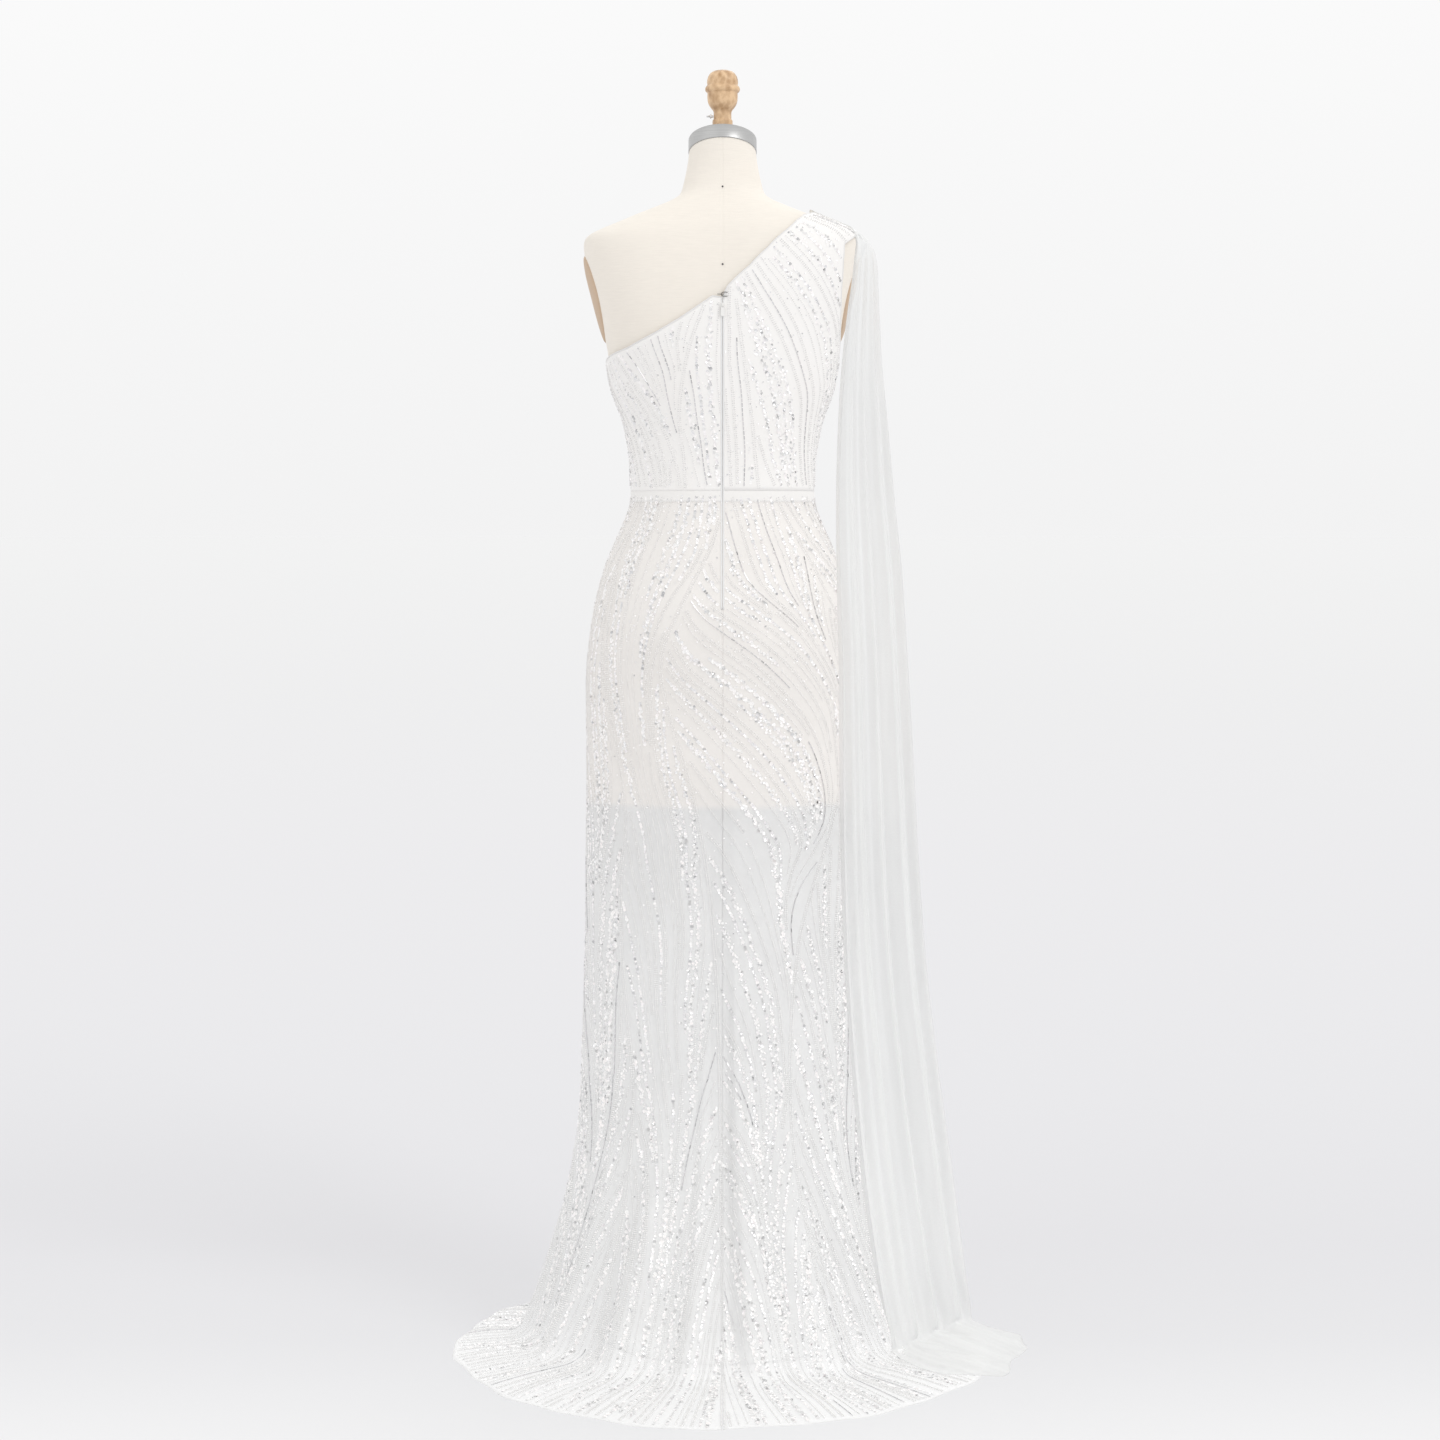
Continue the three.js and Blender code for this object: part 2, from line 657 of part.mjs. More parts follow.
function addBodice() {
  const quarter = Math.PI / 2;
  const waist = levelAtSide(WAIST_Z + SEAM_GAP / 2);
  const underarmLeft = levelAtSide(UNDERARM_LEFT_Z);
  const underarmRight = levelAtSide(UNDERARM_RIGHT_Z);
  const neckSide = levelOnRidge(STRAP_NECK_X);
  const tip = levelOnRidge(STRAP_TIP_X);
  const place = (onBack) => ([x, z]) => placeOnFigure(x, z, onBack);
  const notch = solve((level) => figurePoint(0, level).z, NECKLINE_CB_Z, WAIST_LEVEL, TOP_LEVEL);
  const atSeam = (angle, towards, level) => [angle + towards * seamAngle(level), level];

  const backShoulder = seamLine(-quarter, 1, neckSide, tip);
  const backRight = {
    low: waistLine(-backSeamAngle(waist), -quarter + seamAngle(waist)),
    high: backShoulder,
    first: [
      ...seamLine(0, -1, waist, notch, backSeamAngle),
      ...BACK_NECKLINE.map(place(true)),
      atSeam(-quarter, 1, neckSide),
    ],
    last: [
      ...seamLine(-quarter, 1, waist, underarmRight),
      ...BACK_ARMHOLE.map(place(true)),
      atSeam(-quarter, 1, tip),
    ],
  };
  addBodicePanel("bodice_back_right", backRight, 10, 16);

  const backLeft = {
    low: waistLine(backSeamAngle(waist), quarter - seamAngle(waist)),
    high: [
      [backSeamAngle(notch), notch],
      ...BACK_NECKLINE_LEFT.map(place(true)),
      atSeam(quarter, -1, underarmLeft),
    ],
    first: seamLine(0, 1, waist, notch, backSeamAngle),
    last: seamLine(quarter, -1, waist, underarmLeft),
  };
  addBodicePanel("bodice_back_left", backLeft, 11, 10);

  const frontTurn = ([angle, level]) => [angle < 0 ? angle + 2 * Math.PI : angle, level];
  const right = 3 * quarter;
  const front = {
    low: waistLine(quarter + seamAngle(waist), right - seamAngle(waist)),
    high: seamLine(right, -1, neckSide, tip),
    first: [
      ...seamLine(quarter, 1, waist, underarmLeft),
      ...FRONT_NECKLINE.map(place(false)).map(frontTurn),
      atSeam(right, -1, neckSide),
    ],
    last: [
      ...seamLine(right, -1, waist, underarmRight),
      ...FRONT_ARMHOLE.map(place(false)).map(frontTurn),
      atSeam(right, -1, tip),
    ],
  };
  addBodicePanel("bodice_front", front, 19, 21);
}

// How far the folds push the skirt out at an angle and a height
function foldReach(angle, z) {
  const degrees = THREE.MathUtils.radToDeg(angle);
  let sum = 0;
  for (const fold of FOLDS) {
    const away = ((degrees - fold.angle + 540) % 360) - 180;
    const strength = smooth(((fold.startZ - z) / fold.startZ) * 0.9);
    sum += fold.reach * strength * Math.exp(-((away / fold.spread) ** 2));
  }
  return sum;
}

// The outline of the skirt's flare between the knee and the floor
function flareRing(z) {
  const share = Math.min(1, (KNEE_Z - z) / KNEE_Z) ** FLARE_POWER;
  const knee = RINGS[0];
  return {
    half: mix(knee.half + SHELL_OUTSIDE, FLOOR_CONTACT.half, share),
    back: mix(knee.back + SHELL_OUTSIDE, FLOOR_CONTACT.back, share),
    front: mix(knee.front - SHELL_OUTSIDE, FLOOR_CONTACT.front, share),
    square: 2,
  };
}

// The hem on the floor: a round train at the back that runs into a shorter oval at the front
function hemPoint(angle) {
  const direction = new THREE.Vector2(Math.sin(angle), Math.cos(angle));
  const towards = direction.y * TRAIN_CENTRE_Y;
  const train = towards + Math.sqrt(towards * towards + TRAIN_RADIUS ** 2 - TRAIN_CENTRE_Y ** 2);
  const halfHem = Math.sqrt(TRAIN_RADIUS ** 2 - TRAIN_CENTRE_Y ** 2);
  const front = 1 / Math.hypot(direction.x / halfHem, direction.y / FRONT_HEM_Y);
  return direction.multiplyScalar(mix(train, front, smooth(-direction.y / 0.6)));
}

// The skirt's outside over the hip and thigh, the flare and the floor. Rows run down from the waist.
function skirtPoint(angle, row) {
  if (row.level !== undefined) {
    const point = clothPoint(angle, row.level, SHELL_OUTSIDE);
    const flat = new THREE.Vector2(point.x, point.y).normalize();
    const reach = foldReach(angle, point.z);
    return new THREE.Vector3(point.x + flat.x * reach, point.y + flat.y * reach, point.z);
  }
  const { x, y } = ovalPoint(flareRing(row.z), angle);
  const flat = new THREE.Vector2(x, y);
  const radius = flat.length() + foldReach(angle, row.z) * row.folds;
  flat.setLength(radius);
  if (row.floor !== undefined) flat.lerp(hemPoint(angle), row.floor);
  return new THREE.Vector3(flat.x, flat.y, row.z);
}

function skirtRows() {
  const rows = [];
  const top = levelAtSide(WAIST_Z - SEAM_GAP / 2);
  rows.push({ level: top });
  for (let level = WAIST_LEVEL - 1; level >= FORM_BOTTOM_LEVEL; level--) rows.push({ level });
  for (const z of HANGING_ROWS) {
    if (z > KNEE_Z) rows.push({ level: levelAtSide(z) });
    else rows.push({ z, folds: 1 });
  }
  for (const floor of FLOOR_ROWS) rows.push({ z: SHELL_WALL, folds: 1 - floor, floor });
  return rows;
}

// The inner side of a grid of points, moved in by the wall, and never under the floor
function innerGrid(outer, wall) {
  const point = (j, i) =>
    outer[Math.min(outer.length - 1, Math.max(0, j))][Math.min(outer[0].length - 1, Math.max(0, i))];
  return outer.map((line, j) =>
    line.map((p, i) => {
      const round = point(j, i + 1).clone().sub(point(j, i - 1));
      const down = point(j + 1, i).clone().sub(point(j - 1, i));
      const out = round.cross(down).normalize();
      if (i === 0 || i === line.length - 1) {
        const sideways = new THREE.Vector3(-p.y, p.x, 0).normalize();
        out.addScaledVector(sideways, -out.dot(sideways)).normalize();
      }
      const inner = p.clone().addScaledVector(out, -wall);
      inner.z = Math.max(0, inner.z);
      if (p.z <= wall) inner.set(p.x, p.y, 0);
      return inner;
    }),
  );
}

function addSkirtPanel(name, from, to, columns) {
  const rows = skirtRows();
  const outer = rows.map((row) =>
    Array.from({ length: columns + 1 }, (_, i) => {
      const middle = mix(from, to, i / columns);
      const radius = skirtPoint(middle, row).length();
      const towards = i === 0 ? 1 : i === columns ? -1 : 0;
      const shift = (SEAM_GAP / 2 / Math.min(radius, 300)) * towards;
      return skirtPoint(middle + shift, row);
    }),
  );
  const inner = innerGrid(outer, SHELL_WALL);
  addPart(name, closedWall(outer, inner), BEADED_TULLE);
}

// The opaque lining under the sheer skirt, which ends above the knee
function addLining(name, from, to, columns) {
  const top = levelAtSide(WAIST_Z - SEAM_GAP / 2);
  const levels = [levelAtSide(LINING_HEM_Z)];
  for (let level = FORM_BOTTOM_LEVEL - 1; level < WAIST_LEVEL; level++) levels.push(level);
  levels.push(top);
  const layer = (out) =>
    levels.map((level) =>
      Array.from({ length: columns + 1 }, (_, i) => {
        const towards = i === 0 ? 1 : i === columns ? -1 : 0;
        return clothPoint(mix(from, to, i / columns) + towards * seamAngle(level), level, out);
      }),
    );
  addPart(name, closedWall(layer(LINING_OUTSIDE), layer(LINING_OUTSIDE - LINING_WALL)), LINING_CLOTH);
}

// How far from the axis the gown or the form reaches at an angle and a height
function bodyReach(angle, z) {
  if (z < KNEE_Z) return skirtPoint(angle, { z, folds: 1 }).setZ(0).length() + STREAMER_CLEARANCE;
  const level = solve((l) => figurePoint(angle, l).z, z, 0, TIP_LEVEL);
  return clothPoint(angle, level, ARM_PLATE_DOME).setZ(0).length() + Math.max(0, foldReach(angle, z));
}

// The height of the shoulder at a place
function shoulderHeight(x, y) {
  const angle = Math.atan2(x, y);
  const radius = (level) => figurePoint(angle, level).setZ(0).length();
  return figurePoint(angle, solve((level) => -radius(level), -Math.hypot(x, y), TIP_LEVEL, TOP_LEVEL)).z;
}

// A point of the streamer's under side, moved clear of what it hangs over
function clearOfBody(point) {
  const angle = Math.atan2(point.x, point.y);
  const tip = figurePoint(angle, TIP_LEVEL);
  const radius = Math.hypot(point.x, point.y);
  if (point.z > tip.z) {
    if (radius >= Math.hypot(tip.x, tip.y)) return point;
    const clothTop = shoulderHeight(point.x, point.y) + SHELL_OUTSIDE * SHOULDER_SLOPE_RISE;
    point.z = Math.max(point.z, clothTop + STREAMER_CLEARANCE);
  } else {
    const reach = bodyReach(angle, point.z) + STREAMER_CLEARANCE;
    const scale = Math.max(1, reach / radius);
    point.x *= scale;
    point.y *= scale;
  }
  return point;
}

// The height that the puddled streamer lies at: on the train, and on the floor past its hem
function underPuddle(x, y) {
  const past = Math.hypot(x, y - TRAIN_CENTRE_Y) - TRAIN_RADIUS;
  return mix(SHELL_WALL + PUDDLE.gap, 0, smooth((past - PUDDLE.fallStart) / PUDDLE.fallWidth));
}

// The streamer: a long gathered sheet that hangs from the shoulder and puddles on the train
function addStreamer() {
  const upward = new THREE.Vector3(0, 0, 1);
  const sections = [...STREAMER_SECTIONS, ...PUDDLE_SECTIONS];
  const under = sections.map((section) => {
    const back = new THREE.Vector3(section.backX, section.backY, section.backZ);
    const out = new THREE.Vector3(section.outX, section.outY, section.outZ);
    const puddled = section.backZ === 0;
    const overShoulder = smooth((section.backZ - 1470) / 30);
    const chord = out.clone().sub(back).normalize();
    const side = new THREE.Vector3(chord.y, -chord.x, 0).normalize();
    const fold = side.lerp(upward, puddled ? 1 : overShoulder).normalize();
    return Array.from({ length: STREAMER_COLUMNS + 1 }, (_, i) => {
      const u = i / STREAMER_COLUMNS;
      const wave = Math.cos(u * STREAMER_FOLDS * 2 * Math.PI);
      const point = back.clone().lerp(out, u);
      if (puddled) return point.setZ(underPuddle(point.x, point.y) + section.depth * (1 + wave));
      return clearOfBody(point.addScaledVector(fold, section.depth * wave));
    });
  });
  const last = under.length - 1;
  const at = (j, i) => under[Math.min(last, Math.max(0, j))][Math.min(STREAMER_COLUMNS, Math.max(0, i))];
  const over = under.map((line, j) =>
    line.map((p, i) => {
      const across = at(j, i + 1).clone().sub(at(j, i - 1));
      const down = at(j + 1, i).clone().sub(at(j - 1, i));
      const direction = down.cross(across).normalize();
      return p.clone().addScaledVector(direction, STREAMER_WALL);
    }),
  );
  addPart("shoulder_streamer", closedWall(over, under), CHIFFON);
}

// The zip's slider and its pull, on the outside of the centre back seam
function addZip() {
  const level = solve((l) => figurePoint(0, l).z, ZIP_SLIDER_Z, WAIST_LEVEL, TOP_LEVEL);
  const seat = clothPoint(0, level, SHELL_OUTSIDE);
  const out = outward(figurePoint, 0, level);
  const group = new THREE.Group();
  group.position.copy(seat);
  group.rotation.x = Math.atan2(out.z, out.y);
  gown.add(group);
  // Boxes by width, depth, height, and the y and z of their middle
  const block = (width, depth, height, y, z) =>
    new THREE.BoxGeometry(width, depth, height).translate(0, y, z);
  const slider = joined(
    block(5, 1.8, 8, 1.2, 0),
    block(1.4, 2.6, 0.8, 3.2, 2.9),
    block(1.4, 2.6, 0.8, 3.2, -0.9),
    block(1.4, 0.8, 4.6, 4.2, 1.0),
  );
  addPart("zip_slider", slider, NICKEL, group);
  const pin = { y: 2.95, z: 1.0, radius: 0.45 };
  const outline = new THREE.Shape();
  outline.moveTo(-2, 0.3);
  outline.lineTo(2, 0.3);
  outline.lineTo(2, -3);
  outline.lineTo(2.6, -11);
  outline.absarc(0, -12, 2.6, 0, -Math.PI, true);
  outline.lineTo(-2, -3);
  const plate = new THREE.ExtrudeGeometry(outline, { depth: 0.8, bevelEnabled: false, curveSegments: 8 })
    .translate(0, 0, -0.4)
    .rotateX(Math.PI / 2);
  const window = block(2.2, 4, 2.4, 0, -1.8);
  const bar = new THREE.CylinderGeometry(pin.radius, pin.radius, 4, 8).rotateZ(Math.PI / 2);
  const shape = solidOf(plate).subtract(solidOf(window)).add(solidOf(bar));
  const pull = addPart("zip_pull", geometryOf(shape), NICKEL, group);
  pull.position.set(0, pin.y, pin.z);
}

const EYE_WIRE_RADIUS = 0.45;
const HOOK_WIRE_RADIUS = 0.5;

// A bent wire along a list of points
function wire(points, radius) {
  const curve = new THREE.CatmullRomCurve3(points.map((p) => new THREE.Vector3(...p)));
  const section = new THREE.Shape();
  section.absarc(0, 0, radius, 0, Math.PI * 2, false);
  return new THREE.ExtrudeGeometry(section, { extrudePath: curve, steps: 14, curveSegments: 3 });
}

// The hook and its eye, which close the neckline above the zip
function addHookAndEye() {
  const level = solve((l) => figurePoint(0, l).z, CLOSURE_Z, WAIST_LEVEL, TOP_LEVEL);
  const seat = clothPoint(0, level, SHELL_OUTSIDE + 1);
  const group = new THREE.Group();
  group.position.copy(seat);
  gown.add(group);
  const eye = [
    [-6.5, 0.2, 2.4],
    [-3, 0.2, 2.6],
    [0.6, 0.2, 2],
    [1.9, 0.2, 0],
    [0.6, 0.2, -2],
    [-3, 0.2, -2.6],
    [-6.5, 0.2, -2.4],
  ];
  const hook = [
    [7, 1.8, 0],
    [4, 1.9, 0],
    [0.6, 1.9, 0],
    [-1.2, 1.2, 0],
    [-1.2, -0.2, 0],
    [-0.2, -0.6, 0],
  ];
  addPart("closure_eye", wire(eye, EYE_WIRE_RADIUS), NICKEL, group);
  addPart("closure_hook", wire(hook, HOOK_WIRE_RADIUS), NICKEL, group);
}

addPart("form_torso", torsoShape(0), LINEN);
addArmPlate("form_arm_plate_left", 1);
addArmPlate("form_arm_plate_right", -1);
addNeckCap();
addFinial();
addThumbscrew();
addStand();
addBodice();
addSkirtPanel("skirt_back_left", 0, Math.PI / 2, 20);
addSkirtPanel("skirt_back_right", -Math.PI / 2, 0, 20);
addSkirtPanel("skirt_front", Math.PI / 2, (3 * Math.PI) / 2, 25);
addLining("lining_back", -Math.PI / 2, Math.PI / 2, FORM_COLUMNS / 2);
addLining("lining_front", Math.PI / 2, (3 * Math.PI) / 2, FORM_COLUMNS / 2);
addStreamer();
addZip();
addHookAndEye();

export default gown;
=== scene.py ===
"""A one-shoulder mermaid gown in beaded tulle, with a chiffon streamer, on a dress form.

Metres, +Z up, the floor at Z = 0 and the gown's front towards -Y. Angles round the gown are counted from
the centre back towards the wearer's left, and levels are the rows of the section table, lowest first.
"""

import math

import bpy
import numpy as np
from mathutils import Matrix, Vector


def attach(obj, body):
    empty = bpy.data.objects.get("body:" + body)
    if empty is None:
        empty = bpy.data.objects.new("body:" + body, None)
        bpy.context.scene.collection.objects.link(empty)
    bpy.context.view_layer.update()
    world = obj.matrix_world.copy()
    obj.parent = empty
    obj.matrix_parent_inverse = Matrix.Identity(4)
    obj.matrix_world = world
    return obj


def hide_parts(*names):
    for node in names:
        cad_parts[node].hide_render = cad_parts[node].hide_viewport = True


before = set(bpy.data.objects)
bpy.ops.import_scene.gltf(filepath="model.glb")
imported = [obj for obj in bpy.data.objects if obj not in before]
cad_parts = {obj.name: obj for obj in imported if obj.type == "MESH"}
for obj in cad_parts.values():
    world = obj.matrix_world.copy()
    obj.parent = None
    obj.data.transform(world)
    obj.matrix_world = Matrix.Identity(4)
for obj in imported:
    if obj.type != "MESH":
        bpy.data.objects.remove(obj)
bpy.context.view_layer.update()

bl_info = {
    "name": "Beaded mermaid gown",
    "version": (1, 0, 0),
    "blender": (4, 5, 0),
    "location": "3D View > Sidebar > Gown",
    "description": "Builds a beaded mermaid gown with a shoulder streamer on a dress form",
    "category": "Object",
}

MM = 0.001
GOWN, PULL, SCREW = "gown_on_form", "zip_pull_tab", "thumbscrew"

# The sections of the figure, in millimetres. Those under the form only guide the hanging cloth.
SIDE, HALF, BACK, BACK_Z, FRONT, FRONT_Z, SQUARE = range(7)
NECK_TILT = math.radians(20.9)
NECK_TOP_Z, NECK_RADIUS = 1598.0, 44.7
RINGS = np.array(
    [
        [370, 187.4, 120.4, 370, -104.4, 370, 2.0],
        [485, 182.9, 114.4, 485, -100.4, 485, 2.0],
        [621, 180.4, 113.4, 621, -100.4, 621, 2.0],
        [771, 178.4, 117.0, 771, -104.4, 771, 2.0],
        [850, 179.2, 121.0, 850, -107.0, 850, 2.0],
        [900, 178.6, 124.5, 900, -108.5, 900, 2.0],
        [950, 174.4, 125.5, 950, -108.5, 950, 2.0],
        [1000, 166.0, 120.5, 1000, -107.0, 1000, 2.0],
        [1048, 152.5, 108.5, 1048, -104.0, 1048, 2.05],
        [1100, 130.5, 94.0, 1100, -97.5, 1100, 2.1],
        [1124, 120.9, 88.5, 1124, -93.5, 1124, 2.15],
        [1147, 118.9, 86.5, 1147, -91.0, 1147, 2.15],
        [1188, 120.1, 88.5, 1188, -93.0, 1188, 2.15],
        [1220, 124.8, 92.0, 1220, -97.0, 1220, 2.15],
        [1248, 131.6, 95.0, 1248, -101.0, 1248, 2.2],
        [1283, 144.4, 98.0, 1283, -105.5, 1283, 2.25],
        [1318, 151.0, 101.0, 1320, -109.0, 1318, 2.3],
        [1345, 156.0, 102.0, 1357, -111.0, 1348, 2.4],
        [1374, 162.5, 102.0, 1392, -111.5, 1376, 2.5],
        [1405, 170.0, 100.0, 1424, -108.5, 1402, 2.6],
        [1440, 179.5, 96.5, 1450, -104.0, 1422, 2.6],
        [1466, 185.0, 92.5, 1470, -98.0, 1440, 2.6],
        [1481, 183.0, 88.0, 1485, -92.0, 1454, 2.6],
        [1491, 166.0, 83.5, 1496, -86.0, 1464, 2.5],
        [1500, 144.0, 78.0, 1506, -79.5, 1474, 2.4],
        [1510, 120.0, 72.0, 1517, -72.0, 1485, 2.3],
        [1520.5, 92.0, 65.0, 1529, -62.0, 1497, 2.2],
        [1530, 70.0, 59.5, 1539, -53.5, 1508, 2.1],
        [1541, 57.0, 54.5, 1551, -47.5, 1519, 2.0],
        [1563, 50.5, 48.0, 1573, -42.5, 1543, 2.0],
        [1583, 46.5, 44.0, 1596, -41.0, 1565, 2.0],
        [
            NECK_TOP_Z,
            NECK_RADIUS,
            NECK_RADIUS * math.cos(NECK_TILT),
            NECK_TOP_Z + NECK_RADIUS * math.sin(NECK_TILT),
            -NECK_RADIUS * math.cos(NECK_TILT),
            NECK_TOP_Z - NECK_RADIUS * math.sin(NECK_TILT),
            2.0,
        ],
    ]
)
TOP_LEVEL = len(RINGS) - 1
TIP_LEVEL = 21.6
WAIST_LEVEL = int(np.argmin(abs(RINGS[:, SIDE] - 1147)))
FORM_BOTTOM_LEVEL = int(np.argmin(abs(RINGS[:, SIDE] - 850)))
BUST_X, BUST_Z, BUST_RISE, BUST_SPREAD_X, BUST_SPREAD_Z = 76, 1334, 23, 42, 46
BUST_EASE = 3

# The gown, in millimetres
CLOTH_OUT = 4.5
TULLE_WALL = 0.5
LINING_OUT, LINING_WALL, LINING_HEM_Z = 2.1, 0.6, 732
KNEE_Z = 370
LEVEL_DROP = 50
FLARE_POWER = 1.85
FLOOR_HALF, FLOOR_BACK, FLOOR_FRONT = 268, 258, -212
TRAIN_CENTRE_Y, TRAIN_RADIUS, FRONT_HEM_Y = 88, 358, -240
FLOOR_LEVEL = -KNEE_Z / LEVEL_DROP
HEM_LEVELS = 3.0
HEM_LEVEL = FLOOR_LEVEL - HEM_LEVELS
FLOOR_CLOTH = 1.0
FLOOR_BEND = 7

# Soft folds of the skirt: angle, spread, reach at the hem, and the height where each starts
FOLDS = [
    (-3, 4.5, -24, 640),
    (9, 5.5, 11, 470),
    (21, 5, -9, 400),
    (33, 6, 12, 360),
    (46, 5.5, -13, 330),
    (59, 6, 12, 320),
    (72, 5.5, -11, 300),
    (86, 7, 9, 300),
    (103, 7, -9, 300),
    (121, 8, 9, 300),
    (140, 8, -9, 320),
    (160, 8, 9, 320),
    (180, 8, -9, 320),
    (200, 8, 9, 320),
    (220, 8, -9, 320),
    (239, 8, 9, 300),
    (257, 7, -9, 300),
    (274, 7, 9, 300),
    (288, 5.5, -11, 300),
    (301, 6, 13, 340),
    (314, 5.5, -14, 380),
    (327, 5.5, 12, 420),
    (340, 5, -9, 440),
    (348, 5, 9, 470),
]

# Small creases of the cloth: angle and height of both ends, width and how far out, in degrees and millimetres
CREASES = [
    (14, 1128, 30, 1040, 9, 0.9),
    (-16, 1130, -34, 1050, 8, 0.8),
    (48, 1126, 62, 1030, 10, 0.8),
    (-52, 1124, -60, 1040, 10, 0.7),
    (20, 800, 62, 730, 14, 1.3),
    (-18, 770, -66, 700, 14, 1.2),
    (8, 700, 58, 640, 16, 1.5),
    (-8, 650, -60, 600, 16, 1.4),
    (30, 560, 78, 520, 16, 1.3),
    (-26, 540, -74, 490, 15, 1.3),
    (128, 1120, 150, 1010, 12, 0.9),
    (236, 1120, 212, 1000, 12, 0.9),
    (110, 720, 170, 640, 16, 1.3),
    (252, 700, 190, 610, 16, 1.3),
    (120, 1220, 160, 1180, 9, 0.8),
    (240, 1230, 204, 1185, 9, 0.8),
    (40, 1210, 66, 1180, 8, 0.7),
    (-38, 1215, -68, 1180, 8, 0.7),
]

# The neckline and the armhole: across and up, as seen from behind or from the front
NECKLINE_CB_Z, UNDERARM_LEFT_Z, UNDERARM_RIGHT_Z = 1399, 1320, 1308
STRAP_NECK_X, STRAP_TIP_X = 112, 158
BACK_NECKLINE = [
    (-6, 1413), (-20, 1427), (-36, 1441), (-59, 1464), (-85, 1488), (-97, 1499.5), (-106, 1507.5)
]
BACK_NECKLINE_LEFT = [(13, 1401), (34, 1387), (55, 1373), (86, 1355), (123, 1336)]
FRONT_NECKLINE = [(140, 1333), (105, 1352), (60, 1378), (10, 1409), (-35, 1436), (-75, 1462)]
BACK_ARMHOLE = [(-152, 1338), (-152.5, 1375), (-153.5, 1411), (-156, 1447), (-157.5, 1472)]
FRONT_ARMHOLE = [(-148, 1336), (-146, 1370), (-148, 1405), (-152, 1438), (-156, 1468)]

# The streamer's sections from the shoulder to the floor: back edge, outer edge and depth of its folds
STREAMER_SECTIONS = np.array(
    [
        [-116, 30, 1516, -116, -28, 1516, 1.6],
        [-138, 32, 1508, -140, -29, 1508, 1.8],
        [-158, 36, 1500, -164, -28, 1499, 2.0],
        [-171, 46, 1492, -184, -24, 1492, 2.4],
        [-175, 58, 1476, -200, -17, 1478, 3.0],
        [-173, 64, 1452, -207, -11, 1456, 3.6],
        [-169, 66, 1416, -209, -6, 1418, 4.6],
        [-163, 67, 1370, -211, -2, 1372, 6],
        [-157, 67, 1312, -214, 3, 1314, 7.5],
        [-152, 68, 1240, -221, 8, 1240, 9],
        [-149, 74, 1150, -229, 12, 1150, 10.5],
        [-149, 92, 1040, -240, 17, 1040, 11.5],
        [-152, 102, 920, -248, 20, 920, 12.5],
        [-153, 103, 790, -256, 20, 790, 13],
        [-155, 103, 650, -264, 18, 650, 13.5],
        [-160, 105, 510, -275, 14, 510, 14],
        [-170, 117, 370, -292, 9, 370, 14.5],
        [-183, 132, 230, -312, 1, 230, 15],
        [-201, 149, 105, -329, -6, 105, 14],
        [-215, 160, 40, -339, -10, 40, 10],
        [-223, 168, 12, -345, -10, 12, 6],
        [-234, 190, 4, -366, 4, 4, 3.5],
        [-258, 228, 2, -390, 22, 2, 2.6],
        [-294, 259, 1, -414, 42, 1, 1.8],
        [-335, 281, 0, -437, 63, 0, 1.2],
    ]
)
STREAMER_FOLDS = 3.75
STREAMER_WALL = 0.4
STREAMER_CLEARANCE = 1.6
ARM_PLATE_OUT = 5.8

# The stems of the beaded fronds: angle and height of each point, and how wide the fronds open to each side
STEMS = [
    (
        [
            (-2, 1140),
            (8, 1075),
            (24, 1000),
            (35, 925),
            (31, 850),
            (21, 770),
            (11, 660),
            (5, 540),
            (2, 400),
            (1, 220),
            (0, 10),
        ],
        30,
        60,
    ),
    (
        [
            (66, 1140),
            (70, 1030),
            (69, 920),
            (62, 820),
            (57, 720),
            (60, 610),
            (57, 480),
            (50, 340),
            (47, 180),
            (46, 10),
        ],
        22,
        22,
    ),
    (
        [
            (-44, 1140),
            (-58, 1050),
            (-72, 940),
            (-74, 820),
            (-62, 690),
            (-48, 570),
            (-41, 430),
            (-38, 270),
            (-36, 10),
        ],
        30,
        26,
    ),
    ([(-10, 1398), (-14, 1340), (-20, 1270), (-26, 1200), (-30, 1150)], 20, 30),
    ([(13, 1390), (24, 1330), (32, 1250), (31, 1190), (30, 1150)], 24, 16),
    ([(72, 1335), (60, 1290), (46, 1235), (38, 1190), (34, 1150)], 18, 20),
    ([(128, 1345), (140, 1290), (150, 1230), (156, 1150)], 34, 34),
    ([(222, 1450), (208, 1370), (200, 1290), (196, 1220), (194, 1150)], 34, 36),
    ([(262, 1300), (250, 1240), (238, 1190), (230, 1150)], 28, 30),
    (
        [(184, 1140), (170, 1050), (160, 940), (166, 810), (176, 660), (182, 500), (181, 300), (180, 10)],
        40,
        36,
    ),
    ([(124, 1140), (118, 980), (126, 800), (134, 620), (131, 420), (128, 200), (127, 10)], 32, 34),
    ([(238, 1140), (246, 1000), (238, 860), (228, 700), (231, 500), (232, 250), (232, 10)], 34, 32),
    ([(92, 900), (90, 700), (94, 500), (90, 300), (88, 10)], 28, 28),
    ([(270, 880), (272, 700), (268, 500), (272, 300), (272, 10)], 28, 28),
]

